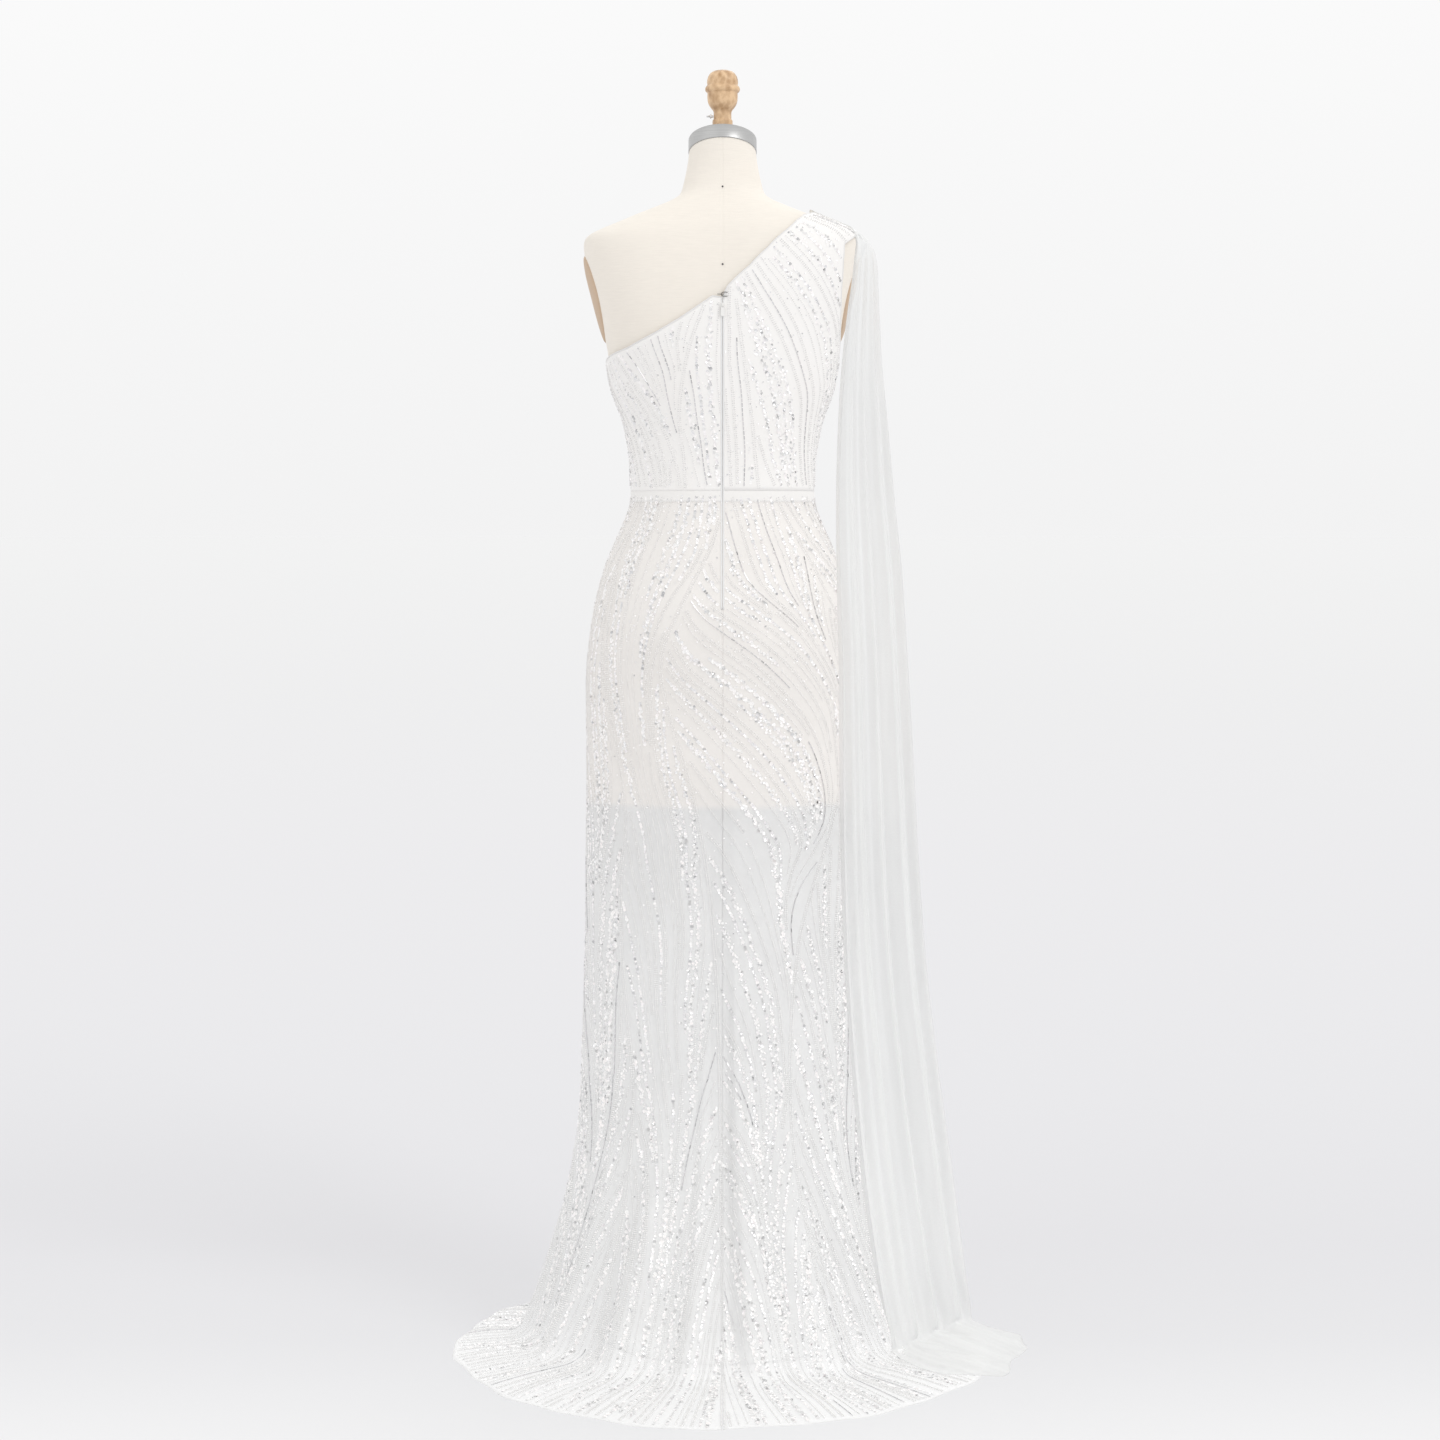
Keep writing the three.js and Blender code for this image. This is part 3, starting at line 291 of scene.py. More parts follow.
# Where the lines lean another way: angle, height, lean towards the wearer's left in degrees, and reach
LEANS = [
    (-4, 1100, -10, 45),
    (-30, 1090, -14, 50),
    (-8, 985, -60, 38),
    (-28, 960, -56, 42),
    (-52, 900, -40, 50),
    (0, 925, -58, 36),
    (-34, 890, -50, 45),
    (-10, 850, -52, 40),
    (-40, 810, -46, 45),
    (8, 800, -38, 36),
    (-8, 765, -44, 42),
    (-32, 735, -40, 45),
    (-62, 780, -22, 50),
    (48, 1080, 12, 45),
    (62, 960, 5, 55),
    (60, 840, -3, 55),
    (26, 740, -20, 42),
    (-10, 610, -24, 50),
    (-30, 520, -22, 55),
    (-44, 400, -12, 55),
    (24, 520, 8, 50),
    (44, 580, -13, 50),
    (44, 430, -7, 50),
    (-56, 1466, -40, 28),
    (-44, 1430, -42, 28),
    (-34, 1388, -34, 28),
    (-62, 1400, -40, 30),
    (-14, 1370, -7, 22),
    (-22, 1300, -15, 28),
    (-50, 1310, -26, 34),
    (-34, 1235, -13, 34),
    (-62, 1225, -9, 38),
    (78, 1300, -26, 28),
    (60, 1262, -34, 28),
    (48, 1220, -24, 28),
    (38, 1322, -24, 20),
    (20, 1335, 4, 20),
    (22, 1250, -2, 24),
    (12, 1200, 0, 24),
    (66, 1180, -15, 30),
]


def mix(a, b, share):
    return a + (b - a) * share


def smooth(share):
    t = np.clip(share, 0, 1)
    return t * t * (3 - 2 * t)


def unit(v):
    return v / np.maximum(np.linalg.norm(v, axis=-1, keepdims=True), 1e-12)


# The figure and the gown as formulas, in millimetres and radians


def rings_at(level):
    level = np.clip(level, 0, TOP_LEVEL)
    first = np.minimum(np.floor(level).astype(int), TOP_LEVEL - 1)
    t = (level - first)[..., None]
    a, b, c, d = (RINGS[np.clip(first + k, 0, TOP_LEVEL)] for k in (-1, 0, 1, 2))
    t2, t3 = t * t, t * t * t
    slopes = (t3 - 2 * t2 + t) * (c - a) / 2 + (t3 - t2) * (d - b) / 2
    return (2 * t3 - 3 * t2 + 1) * b + (3 * t2 - 2 * t3) * c + slopes


def oval_point(half, back, front, power, angle):
    sine, cosine = np.sin(angle), np.cos(angle)
    depth = np.where(cosine >= 0, back, -front)
    radius = (abs(sine / half) ** power + abs(cosine / depth) ** power) ** (-1 / power)
    return radius * sine, radius * cosine, radius * cosine / depth


def figure_point(angle, level, bust_rise=BUST_RISE):
    ring = rings_at(level)
    x, y, share = oval_point(ring[..., HALF], ring[..., BACK], ring[..., FRONT], ring[..., SQUARE], angle)
    tilt = (ring[..., BACK_Z] - ring[..., FRONT_Z]) / 2
    saddle = (ring[..., BACK_Z] + ring[..., FRONT_Z]) / 2 - ring[..., SIDE]
    z = ring[..., SIDE] + tilt * share + saddle * share * share
    mound = ((abs(x) - BUST_X) / BUST_SPREAD_X) ** 2 + ((z - BUST_Z) / BUST_SPREAD_Z) ** 2
    return np.stack([x, y - bust_rise * np.exp(-mound) * smooth(-share * 2), z], axis=-1)


def outward(angle, level):
    around = figure_point(angle + 0.01, level) - figure_point(angle - 0.01, level)
    up = figure_point(angle, level + 0.04) - figure_point(angle, level - 0.04)
    return unit(np.cross(up, around))


def cloth_point(angle, level, out):
    angle, level = np.broadcast_arrays(np.asarray(angle, float), np.asarray(level, float))
    return figure_point(angle, level) + outward(angle, level) * np.asarray(out, float)[..., None]


def angle_away(degrees, middle):
    return (degrees - middle + 540) % 360 - 180


def fold_reach(angle, z):
    degrees = np.degrees(angle)
    total = 0
    for middle, spread, reach, start in FOLDS:
        strength = smooth((start - z) / start * 0.9)
        total = total + reach * strength * np.exp(-((angle_away(degrees, middle) / spread) ** 2))
    return total


def crease_reach(angle, z):
    degrees = np.degrees(angle)
    total = 0
    for a0, z0, a1, z1, width, depth in CREASES:
        across = 2.6
        ax, az = angle_away(degrees, a0) * across, z - z0
        bx, bz = (a1 - a0) * across, z1 - z0
        share = np.clip((ax * bx + az * bz) / (bx * bx + bz * bz), 0, 1)
        away = np.hypot(ax - share * bx, az - share * bz)
        total = total + depth * np.exp(-((away / width) ** 2)) * np.sin(np.pi * mix(0.12, 0.88, share))
    low = smooth((640 - z) / 600)
    drape = np.sin(angle * 34 + 1.7 * np.sin(angle * 5 + 0.4)) + 0.6 * np.sin(
        angle * 61 + 2.1 * np.sin(angle * 8)
    )
    return total + 1.5 * low * drape


def hem_radius(angle):
    sine, cosine = np.sin(angle), np.cos(angle)
    towards = cosine * TRAIN_CENTRE_Y
    half_hem = math.sqrt(TRAIN_RADIUS**2 - TRAIN_CENTRE_Y**2)
    train = towards + np.sqrt(towards**2 + half_hem**2)
    front = 1 / np.hypot(sine / half_hem, cosine / FRONT_HEM_Y)
    uneven = 0.996 + 0.009 * np.sin(5 * angle + 0.7) + 0.008 * np.sin(11 * angle) + 0.005 * np.sin(
        27 * angle + 1
    )
    return mix(train, front, smooth(-cosine / 0.6)) * uneven


def gown_point(angle, level, out=CLOTH_OUT):
    """The outside of the gown: over the figure, down the flare and out along the floor."""
    angle, level = np.broadcast_arrays(np.asarray(angle, float), np.asarray(level, float))
    worn = cloth_point(angle, np.maximum(level, 0), out)
    worn_reach = fold_reach(angle, worn[..., 2]) + crease_reach(angle, worn[..., 2])
    worn[..., :2] += unit(worn[..., :2]) * worn_reach[..., None]
    drop = KNEE_Z + level * LEVEL_DROP
    height = np.maximum(drop, 0)
    flare = np.clip((KNEE_Z - height) / KNEE_Z, 0, 1) ** FLARE_POWER
    knee = RINGS[0]
    x, y, _ = oval_point(
        mix(knee[HALF] + out, FLOOR_HALF, flare),
        mix(knee[BACK] + out, FLOOR_BACK, flare),
        mix(knee[FRONT] - out, FLOOR_FRONT, flare),
        2.0,
        angle,
    )
    on_floor = np.clip((FLOOR_LEVEL + 0.25 - level) / (HEM_LEVELS + 0.25), 0, 1)
    out_along = (np.sqrt(on_floor**2 + 0.0025) - 0.05) / (math.sqrt(1.0025) - 0.05)
    folds = fold_reach(angle, height) + crease_reach(angle, height)
    radius = np.hypot(x, y) + folds * (1 - out_along)
    radius = mix(radius, hem_radius(angle), out_along)
    ripple = 0.5 + 0.5 * np.sin(angle * 31 + 2 * np.sin(angle * 7))
    swell = 0.5 + 0.5 * np.sin(angle * 12 + 1.3 * np.sin(angle * 5 + 1))
    lifted = np.sin(np.pi * np.clip(on_floor, 0, 1)) * (1.6 * ripple + 3.2 * swell)
    z = 0.5 * (drop + np.sqrt(drop**2 + 4 * FLOOR_BEND**2)) * (1 - out_along) + lifted
    z = np.maximum(z, 0) + FLOOR_CLOTH + (out - CLOTH_OUT)
    hung = np.stack([radius * np.sin(angle), radius * np.cos(angle), z], axis=-1)
    return np.where((level >= 0)[..., None], worn, hung)


def level_of_side(z):
    table = np.linspace(0, TIP_LEVEL, 4000)
    return float(np.interp(z, rings_at(table)[:, SIDE], table))


def level_of_height(z):
    """The level for a height under the waist, where every section is flat."""
    return level_of_side(z) if z > KNEE_Z else (z - KNEE_Z) / LEVEL_DROP


def level_on_ridge(x):
    table = np.linspace(TIP_LEVEL, TOP_LEVEL, 4000)
    return float(np.interp(-x, -rings_at(table)[:, HALF], table))


def place_on_figure(x, z, on_back):
    """The angle and level of the skin at a place across and up, on the back or on the front."""
    sign = -1 if x < 0 else 1
    highest = level_on_ridge(abs(x)) if abs(x) > 50 else TOP_LEVEL
    turns = np.linspace(0, math.pi / 2, 361)
    levels = np.linspace(WAIST_LEVEL, highest, 400)
    angles = sign * (turns if on_back else math.pi - turns)
    skin = figure_point(angles[None, :], levels[:, None] + 0 * turns[None, :])
    heights, found = [], []
    for row in skin:
        found.append(np.interp(abs(x), abs(row[:, 0]), turns))
        heights.append(np.interp(found[-1], turns, row[:, 2]))
    turn = np.interp(z, heights, found)
    level = np.interp(z, heights, levels)
    return [sign * (turn if on_back else math.pi - turn), float(level)]


def along(places, count):
    """Evenly spaced places along a line of [angle, level] places."""
    places = np.array(places, float)
    fine = np.linspace(0, len(places) - 1, 12 * len(places))
    dense = np.stack([np.interp(fine, range(len(places)), places[:, k]) for k in (0, 1)], axis=-1)
    at = cloth_point(dense[:, 0], dense[:, 1], CLOTH_OUT)
    length = np.concatenate([[0], np.cumsum(np.linalg.norm(np.diff(at, axis=0), axis=1))])
    wanted = np.linspace(0, length[-1], count)
    return np.stack([np.interp(wanted, length, dense[:, k]) for k in (0, 1)], axis=-1)


def patch_places(edges, columns, rows):
    """A patch of places between four edges."""
    low, high = (along(edges[name], columns + 1) for name in ("low", "high"))
    first, last = (along(edges[name], rows + 1) for name in ("first", "last"))
    u = np.linspace(0, 1, columns + 1)[None, :, None]
    v = np.linspace(0, 1, rows + 1)[:, None, None]
    corners = mix(mix(low[0], low[-1], u), mix(high[0], high[-1], u), v)
    return mix(low[None], high[None], v) + mix(first[:, None], last[:, None], u) - corners


def bodice_edges():
    """The four edges of each bodice panel, as the pattern is cut."""
    quarter = math.pi / 2
    waist = level_of_side(1147.2)
    neck_side, tip = level_on_ridge(STRAP_NECK_X), level_on_ridge(STRAP_TIP_X)
    under_left, under_right = level_of_side(UNDERARM_LEFT_Z), level_of_side(UNDERARM_RIGHT_Z)
    notch = place_on_figure(0.01, NECKLINE_CB_Z, True)[1]
    seam = 0.0013
    on_back = [place_on_figure(x, z, True) for x, z in BACK_NECKLINE]
    on_left = [place_on_figure(x, z, True) for x, z in BACK_NECKLINE_LEFT]
    armhole = [place_on_figure(x, z, True) for x, z in BACK_ARMHOLE]
    front_neck = [place_on_figure(x, z, False) for x, z in FRONT_NECKLINE]
    front_neck = [[a % (2 * math.pi), level] for a, level in front_neck]
    front_armhole = [place_on_figure(x, z, False) for x, z in FRONT_ARMHOLE]
    front_armhole = [[a % (2 * math.pi), level] for a, level in front_armhole]
    right = 3 * quarter
    return {
        "bodice_back_right": {
            "low": [[-seam, waist], [-quarter + seam, waist]],
            "high": [[-quarter + seam, neck_side], [-quarter + seam, tip]],
            "first": [[-seam, waist], [-seam, notch], *on_back, [-quarter + seam, neck_side]],
            "last": [
                [-quarter + seam, waist], [-quarter + seam, under_right], *armhole, [-quarter + seam, tip]
            ],
        },
        "bodice_back_left": {
            "low": [[seam, waist], [quarter - seam, waist]],
            "high": [[seam, notch], *on_left, [quarter - seam, under_left]],
            "first": [[seam, waist], [seam, notch]],
            "last": [[quarter - seam, waist], [quarter - seam, under_left]],
        },
        "bodice_front": {
            "low": [[quarter + seam, waist], [right - seam, waist]],
            "high": [[right - seam, neck_side], [right - seam, tip]],
            "first": [
                [quarter + seam, waist], [quarter + seam, under_left], *front_neck, [right - seam, neck_side]
            ],
            "last": [[right - seam, waist], [right - seam, under_right], *front_armhole, [right - seam, tip]],
        },
    }


# Meshes


def deselect():
    if bpy.context.object and bpy.context.object.mode != "OBJECT":
        bpy.ops.object.mode_set(mode="OBJECT")
    bpy.ops.object.select_all(action="DESELECT")


def mesh_object(name, points, faces, materials, uv=None, slots=None, is_smooth=True):
    """A mesh from points in metres and faces of one size, with a UV a point and a slot a face."""
    points, faces = np.asarray(points, np.float32), np.asarray(faces, np.int32)
    count, sides = faces.shape
    mesh = bpy.data.meshes.new(name)
    mesh.vertices.add(len(points))
    mesh.vertices.foreach_set("co", points.ravel())
    mesh.loops.add(count * sides)
    mesh.loops.foreach_set("vertex_index", faces.ravel())
    mesh.polygons.add(count)
    mesh.polygons.foreach_set("loop_start", np.arange(0, count * sides, sides, dtype=np.int32))
    if uv is not None:
        layer = mesh.uv_layers.new(name="cloth")
        layer.data.foreach_set("uv", np.asarray(uv, np.float32)[faces.ravel()].ravel())
    if slots is not None:
        mesh.polygons.foreach_set("material_index", np.asarray(slots, np.int32))
    mesh.polygons.foreach_set("use_smooth", np.full(count, is_smooth))
    mesh.update(calc_edges=True)
    mesh.validate()
    for material in materials:
        mesh.materials.append(material)
    piece = bpy.data.objects.new(name, mesh)
    bpy.context.scene.collection.objects.link(piece)
    return piece


def grid_faces(rows, columns, start=0, turned=False, closed=False):
    j, i = np.meshgrid(np.arange(rows - 1), np.arange(columns if closed else columns - 1), indexing="ij")
    after = (i + 1) % columns
    quads = [j * columns + i, j * columns + after, (j + 1) * columns + after, (j + 1) * columns + i]
    faces = np.stack(quads, axis=-1).reshape(-1, 4) + start
    return faces[:, ::-1] if turned else faces


def shell(name, outer, inner, materials, uv):
    """A closed thin wall of cloth between an outer and an inner grid of points, both in millimetres."""
    rows, columns = outer.shape[:2]
    size = rows * columns
    at = np.arange(size).reshape(rows, columns)
    faces = [grid_faces(rows, columns), grid_faces(rows, columns, size, turned=True)]
    for line, flip in ((at[0], False), (at[-1], True), (at[:, 0], True), (at[:, -1], False)):
        rim = np.stack([line[:-1] + size, line[1:] + size, line[1:], line[:-1]], axis=-1)
        faces.append(rim[:, ::-1] if flip else rim)
    faces = np.concatenate(faces)
    points = np.concatenate([outer.reshape(-1, 3), inner.reshape(-1, 3)])
    corners = points[faces]
    volume = (corners[:, 0] * np.cross(corners[:, 1], corners[:, 2])).sum()
    if volume < 0:
        faces = faces[:, ::-1]
    return mesh_object(name, points * MM, faces, materials, np.concatenate([uv, uv]))


def metric_uv(grid):
    """UVs in metres: along each row from its middle, and down each column."""
    step_u = np.linalg.norm(np.diff(grid, axis=1), axis=2)
    u = np.concatenate([np.zeros((len(grid), 1)), np.cumsum(step_u, axis=1)], axis=1)
    u -= u[:, u.shape[1] // 2][:, None]
    step_v = np.linalg.norm(np.diff(grid, axis=0), axis=2).mean(axis=1)
    v = np.concatenate([[0], np.cumsum(step_v)])[:, None] + 0 * u
    return np.stack([u, v], axis=-1).reshape(-1, 2) * MM


def grid_normals(grid):
    across, down = np.gradient(grid, axis=1), np.gradient(grid, axis=0)
    return unit(np.cross(down, across))


def lets_light_through(piece):
    """Sheer cloth passes the light on to what is behind it."""
    piece.visible_shadow = False
    piece.visible_diffuse = False


def riding(piece, body, *nodes, slot=None):
    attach(piece, body)
    if nodes:
        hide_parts(*nodes)
    return piece


def tube(name, path, radius, material, sides=8):
    """A round cord or binding along a path, in millimetres."""
    path = np.asarray(path, float)
    tangent = unit(np.gradient(path, axis=0))
    guide = np.array([0.31, 0.95, 0.05])
    first = unit(np.cross(tangent, guide))
    second = np.cross(tangent, first)
    turn = np.linspace(0, 2 * np.pi, sides, endpoint=False)
    radius = np.broadcast_to(np.asarray(radius, float), (len(path),))[:, None, None]
    circle = np.cos(turn)[None, :, None] * first[:, None] + np.sin(turn)[None, :, None] * second[:, None]
    rings = path[:, None] + radius * circle
    points = rings.reshape(-1, 3)
    faces = grid_faces(len(path), sides, closed=True)
    piece = mesh_object(name, points * MM, faces, [material])
    deselect()
    bpy.context.view_layer.objects.active = piece
    piece.select_set(True)
    bpy.ops.object.mode_set(mode="EDIT")
    bpy.ops.mesh.select_all(action="SELECT")
    bpy.ops.mesh.fill_holes(sides=sides)
    bpy.ops.mesh.normals_make_consistent(inside=False)
    bpy.ops.object.mode_set(mode="OBJECT")
    return piece


def spun(name, profile, material, steps=64):
    """A turned piece: a profile of (radius, height) in millimetres, spun about Z."""
    deselect()
    bpy.ops.mesh.primitive_plane_add(size=0.002)
    piece = bpy.context.object
    piece.name = piece.data.name = name
    bpy.ops.object.mode_set(mode="EDIT")
    bpy.ops.mesh.select_all(action="SELECT")
    bpy.ops.mesh.merge(type="CENTER")
    start = Vector((profile[0][0] * MM, 0, profile[0][1] * MM))
    bpy.ops.transform.translate(value=start)
    for (r0, z0), (r1, z1) in zip(profile, profile[1:]):
        step = ((r1 - r0) * MM, 0, (z1 - z0) * MM)
        bpy.ops.mesh.extrude_vertices_move(TRANSFORM_OT_translate={"value": step})
    bpy.ops.mesh.select_all(action="SELECT")
    bpy.ops.mesh.spin(steps=steps, angle=2 * math.pi, center=(0, 0, 0), axis=(0, 0, 1))
    bpy.ops.mesh.select_all(action="SELECT")
    bpy.ops.mesh.remove_doubles(threshold=1e-6)
    bpy.ops.mesh.normals_make_consistent(inside=False)
    bpy.ops.object.mode_set(mode="OBJECT")
    piece.data.materials.append(material)
    bpy.ops.object.shade_smooth_by_angle(angle=math.radians(35))
    return piece


def block(name, size, centre, material, bevel=0.0):
    """A box of a size at a place, in millimetres, with bevelled edges."""
    deselect()
    bpy.ops.mesh.primitive_cube_add(size=1)
    piece = bpy.context.object
    piece.name = piece.data.name = name
    piece.scale = [s * MM for s in size]
    piece.location = [c * MM for c in centre]
    bpy.ops.object.transform_apply(location=True, rotation=True, scale=True)
    if bevel:
        shape = piece.modifiers.new("edges", "BEVEL")
        shape.width, shape.segments = bevel * MM, 3
        bpy.ops.object.modifier_apply(modifier=shape.name)
    piece.data.materials.append(material)
    bpy.ops.object.shade_smooth_by_angle(angle=math.radians(40))
    return piece


def joined(name, pieces):
    deselect()
    for piece in pieces:
        piece.select_set(True)
    bpy.context.view_layer.objects.active = pieces[0]
    bpy.ops.object.join()
    pieces[0].name = pieces[0].data.name = name
    return pieces[0]


def moved(piece, matrix):
    piece.data.transform(matrix)
    piece.data.update()
    return piece


# Materials


class Finish:
    """A material being built from nodes round one Principled shader."""

    def __init__(self, name, colour, roughness, metallic=0.0, **sockets):
        self.material = bpy.data.materials.new(name)
        self.material.use_nodes = True
        self.nodes = self.material.node_tree.nodes
        self.shader = self.nodes["Principled BSDF"]
        self.set("Base Color", (*colour, 1))
        self.set("Roughness", roughness)
        self.set("Metallic", metallic)
        for socket, value in sockets.items():
            self.set(socket.replace("_", " "), value)

    def set(self, socket, value):
        self.shader.inputs[socket].default_value = value

    def add(self, kind, **values):
        node = self.nodes.new(kind)
        for name, value in values.items():
            if hasattr(node, name):
                setattr(node, name, value)
            else:
                node.inputs[name.replace("_", " ")].default_value = value
        return node

    def link(self, source, target):
        self.material.node_tree.links.new(source, target)

    def place(self, output="Object", scale=(1, 1, 1), turn=(0, 0, 0)):
        """Object or UV coordinates in metres, scaled and turned."""
        if output == "UV":
            source = self.add("ShaderNodeUVMap", uv_map="cloth").outputs["UV"]
        else:
            source = self.add("ShaderNodeTexCoord").outputs[output]
        mapping = self.add("ShaderNodeMapping")
        mapping.inputs["Scale"].default_value = scale
        mapping.inputs["Rotation"].default_value = turn
        self.link(source, mapping.inputs["Vector"])
        return mapping.outputs["Vector"]

    def noise(self, place, scale, detail=2.0, roughness=0.5):
        node = self.add("ShaderNodeTexNoise", Scale=scale, Detail=detail, Roughness=roughness)
        self.link(place, node.inputs["Vector"])
        return node.outputs["Fac"]

    def threads(self, place, pitch, rotation="X"):
        node = self.add(
            "ShaderNodeTexWave", bands_direction=rotation, Scale=math.pi / (10 * pitch), Distortion=0.6
        )
        self.link(place, node.inputs["Vector"])
        return node.outputs["Fac"]

    def ramp(self, source, stops):
        node = self.add("ShaderNodeValToRGB")
        while len(node.color_ramp.elements) < len(stops):
            node.color_ramp.elements.new(0.5)
        for element, (position, colour) in zip(node.color_ramp.elements, stops):
            element.position = position
            element.color = (*colour, 1) if len(colour) == 3 else colour
        self.link(source, node.inputs["Fac"])
        return node.outputs["Color"]

    def math(self, operation, a, b):
        node = self.add("ShaderNodeMath", operation=operation)
        for socket, value in zip(node.inputs, (a, b)):
            if isinstance(value, (int, float)):
                socket.default_value = value
            else:
                self.link(value, socket)
        return node.outputs["Value"]

    def span(self, source, low, high):
        node = self.add("ShaderNodeMapRange")
        node.inputs["To Min"].default_value = low
        node.inputs["To Max"].default_value = high
        self.link(source, node.inputs["Value"])
        return node.outputs["Result"]

    def colour(self, source):
        self.link(source, self.shader.inputs["Base Color"])
        return self

    def rough(self, source):
        self.link(source, self.shader.inputs["Roughness"])
        return self

    def bump(self, source, height, strength=1.0):
        node = self.add("ShaderNodeBump", Strength=strength, Distance=height)
        self.link(source, node.inputs["Height"])
        self.link(node.outputs["Normal"], self.shader.inputs["Normal"])
        return self


def shades(colour, *amounts):
    return [tuple(min(1.0, c * amount) for c in colour) for amount in amounts]


def linen(name, colour):
    finish = Finish(name, colour, 0.9, Sheen_Weight=0.15, Sheen_Roughness=0.5)
    place = finish.place()
    weave = finish.math("MULTIPLY", finish.threads(place, 0.0011, "Z"), finish.threads(place, 0.0011, "X"))
    slubs = finish.noise(finish.place(scale=(60, 60, 900)), 1.0, 3.0)
    patch = finish.noise(place, 9.0, 3.0)
    low, high = shades(colour, 0.955, 1.03)
    cloudy = finish.math("ADD", finish.math("MULTIPLY", slubs, 0.5), finish.math("MULTIPLY", patch, 0.5))
    finish.colour(finish.ramp(cloudy, [(0.3, low), (0.7, high)]))
    return finish.bump(finish.math("ADD", weave, slubs), 0.00025, 0.5).material


def brushed_steel(name, colour, roughness):
    finish = Finish(name, colour, roughness, 1.0, Anisotropic=0.5)
    lines = finish.noise(finish.place(scale=(3, 3, 1400)), 1.0, 2.0)
    finish.colour(finish.ramp(lines, [(0.3, shades(colour, 0.86)[0]), (0.7, shades(colour, 1.1)[0])]))
    finish.rough(finish.span(lines, roughness * 0.8, roughness * 1.3))
    return finish.bump(lines, 0.00004, 0.4).material


def turned_wood(name, dark, light):
    finish = Finish(name, light, 0.42, Coat_Weight=0.25, Coat_Roughness=0.3)
    place = finish.place(scale=(1, 1, 0.7))
    curl = finish.noise(place, 95.0, 5.0, 0.65)
    eyes = finish.add("ShaderNodeTexVoronoi", Scale=120.0)
    finish.link(place, eyes.inputs["Vector"])
    figure = finish.math(
        "ADD", finish.math("MULTIPLY", curl, 0.75), finish.math("MULTIPLY", eyes.outputs["Distance"], 0.35)
    )
    middle = tuple((a + b) / 2 for a, b in zip(dark, light))
    finish.colour(finish.ramp(figure, [(0.32, dark), (0.5, middle), (0.66, light)]))
    finish.rough(finish.span(curl, 0.34, 0.55))
    return finish.bump(figure, 0.0002, 0.35).material


def chrome(name):
    finish = Finish(name, (0.8, 0.8, 0.8), 0.12, 1.0)
    finish.rough(finish.span(finish.noise(finish.place(), 300.0), 0.08, 0.22))
    return finish.material


def painted_iron(name, colour):
    finish = Finish(name, colour, 0.45, 0.0, Coat_Weight=0.3, Coat_Roughness=0.25)
    grain = finish.noise(finish.place(), 900.0, 3.0)
    finish.colour(finish.ramp(grain, [(0.35, shades(colour, 0.92)[0]), (0.7, shades(colour, 1.06)[0])]))
    finish.rough(finish.span(grain, 0.38, 0.58))
    return finish.bump(grain, 0.0001, 0.5).material


def net(finish, cell):
    """The threads of a fine net: 1 on a thread and 0 in a hole."""
    cells = finish.add(
        "ShaderNodeTexVoronoi", feature="DISTANCE_TO_EDGE", voronoi_dimensions="2D", Randomness=0.25
    )
    cells.inputs["Scale"].default_value = 1 / cell
    finish.link(finish.place("UV"), cells.inputs["Vector"])
    return finish.span(cells.outputs["Distance"], 1.6, -0.9)


def tulle(name, colour, lined, cell, cover):
    """Sheer net. Cover is how much one wall of it hides; over the lining it shows the lining's colour too."""
    finish = Finish(name, colour, 0.62, Sheen_Weight=0.2, Sheen_Roughness=0.4)
    threads = finish.math("MINIMUM", finish.math("MAXIMUM", net(finish, cell), 0.0), 1.0)
    place = finish.place()
    cloud = finish.noise(place, 14.0, 3.0)
    height = finish.add("ShaderNodeSeparateXYZ")
    finish.link(place, height.inputs["Vector"])
    backed = finish.add("ShaderNodeMapRange")
    backed.inputs["From Min"].default_value = (LINING_HEM_Z - 5) * MM
    backed.inputs["From Max"].default_value = (LINING_HEM_Z + 4) * MM
    finish.link(height.outputs["Z"], backed.inputs["Value"])
    alpha = finish.math(
        "ADD", finish.span(threads, cover * 0.72, cover * 1.3), finish.span(cloud, -0.05, 0.05)
    )
    alpha = finish.math("ADD", alpha, finish.math("MULTIPLY", backed.outputs["Result"], 0.12))
    finish.link(alpha, finish.shader.inputs["Alpha"])
    tint = finish.add("ShaderNodeMix", data_type="RGBA")
    finish.link(backed.outputs["Result"], tint.inputs["Factor"])
    finish.link(
        finish.ramp(cloud, [(0.3, shades(colour, 0.975)[0]), (0.7, shades(colour, 1.02)[0])]),
        tint.inputs["A"],
    )
    finish.link(
        finish.ramp(cloud, [(0.3, shades(lined, 0.975)[0]), (0.7, shades(lined, 1.02)[0])]), tint.inputs["B"]
    )
    # Painted light: where the net lies on the floor its colour is made paler, standing in for the light it
    # catches there.
    lying = finish.add("ShaderNodeMapRange")
    lying.inputs["From Min"].default_value = 0.06
    lying.inputs["From Max"].default_value = 0.008
    finish.link(height.outputs["Z"], lying.inputs["Value"])
    floor_painted_light = finish.add("ShaderNodeMix", data_type="RGBA")
    floor_painted_light.inputs["B"].default_value = (*shades(colour, 1.12)[0], 1)
    finish.link(lying.outputs["Result"], floor_painted_light.inputs["Factor"])
    finish.link(tint.outputs["Result"], floor_painted_light.inputs["A"])
    finish.colour(floor_painted_light.outputs["Result"])
    return finish.bump(threads, 0.0001, 0.35).material


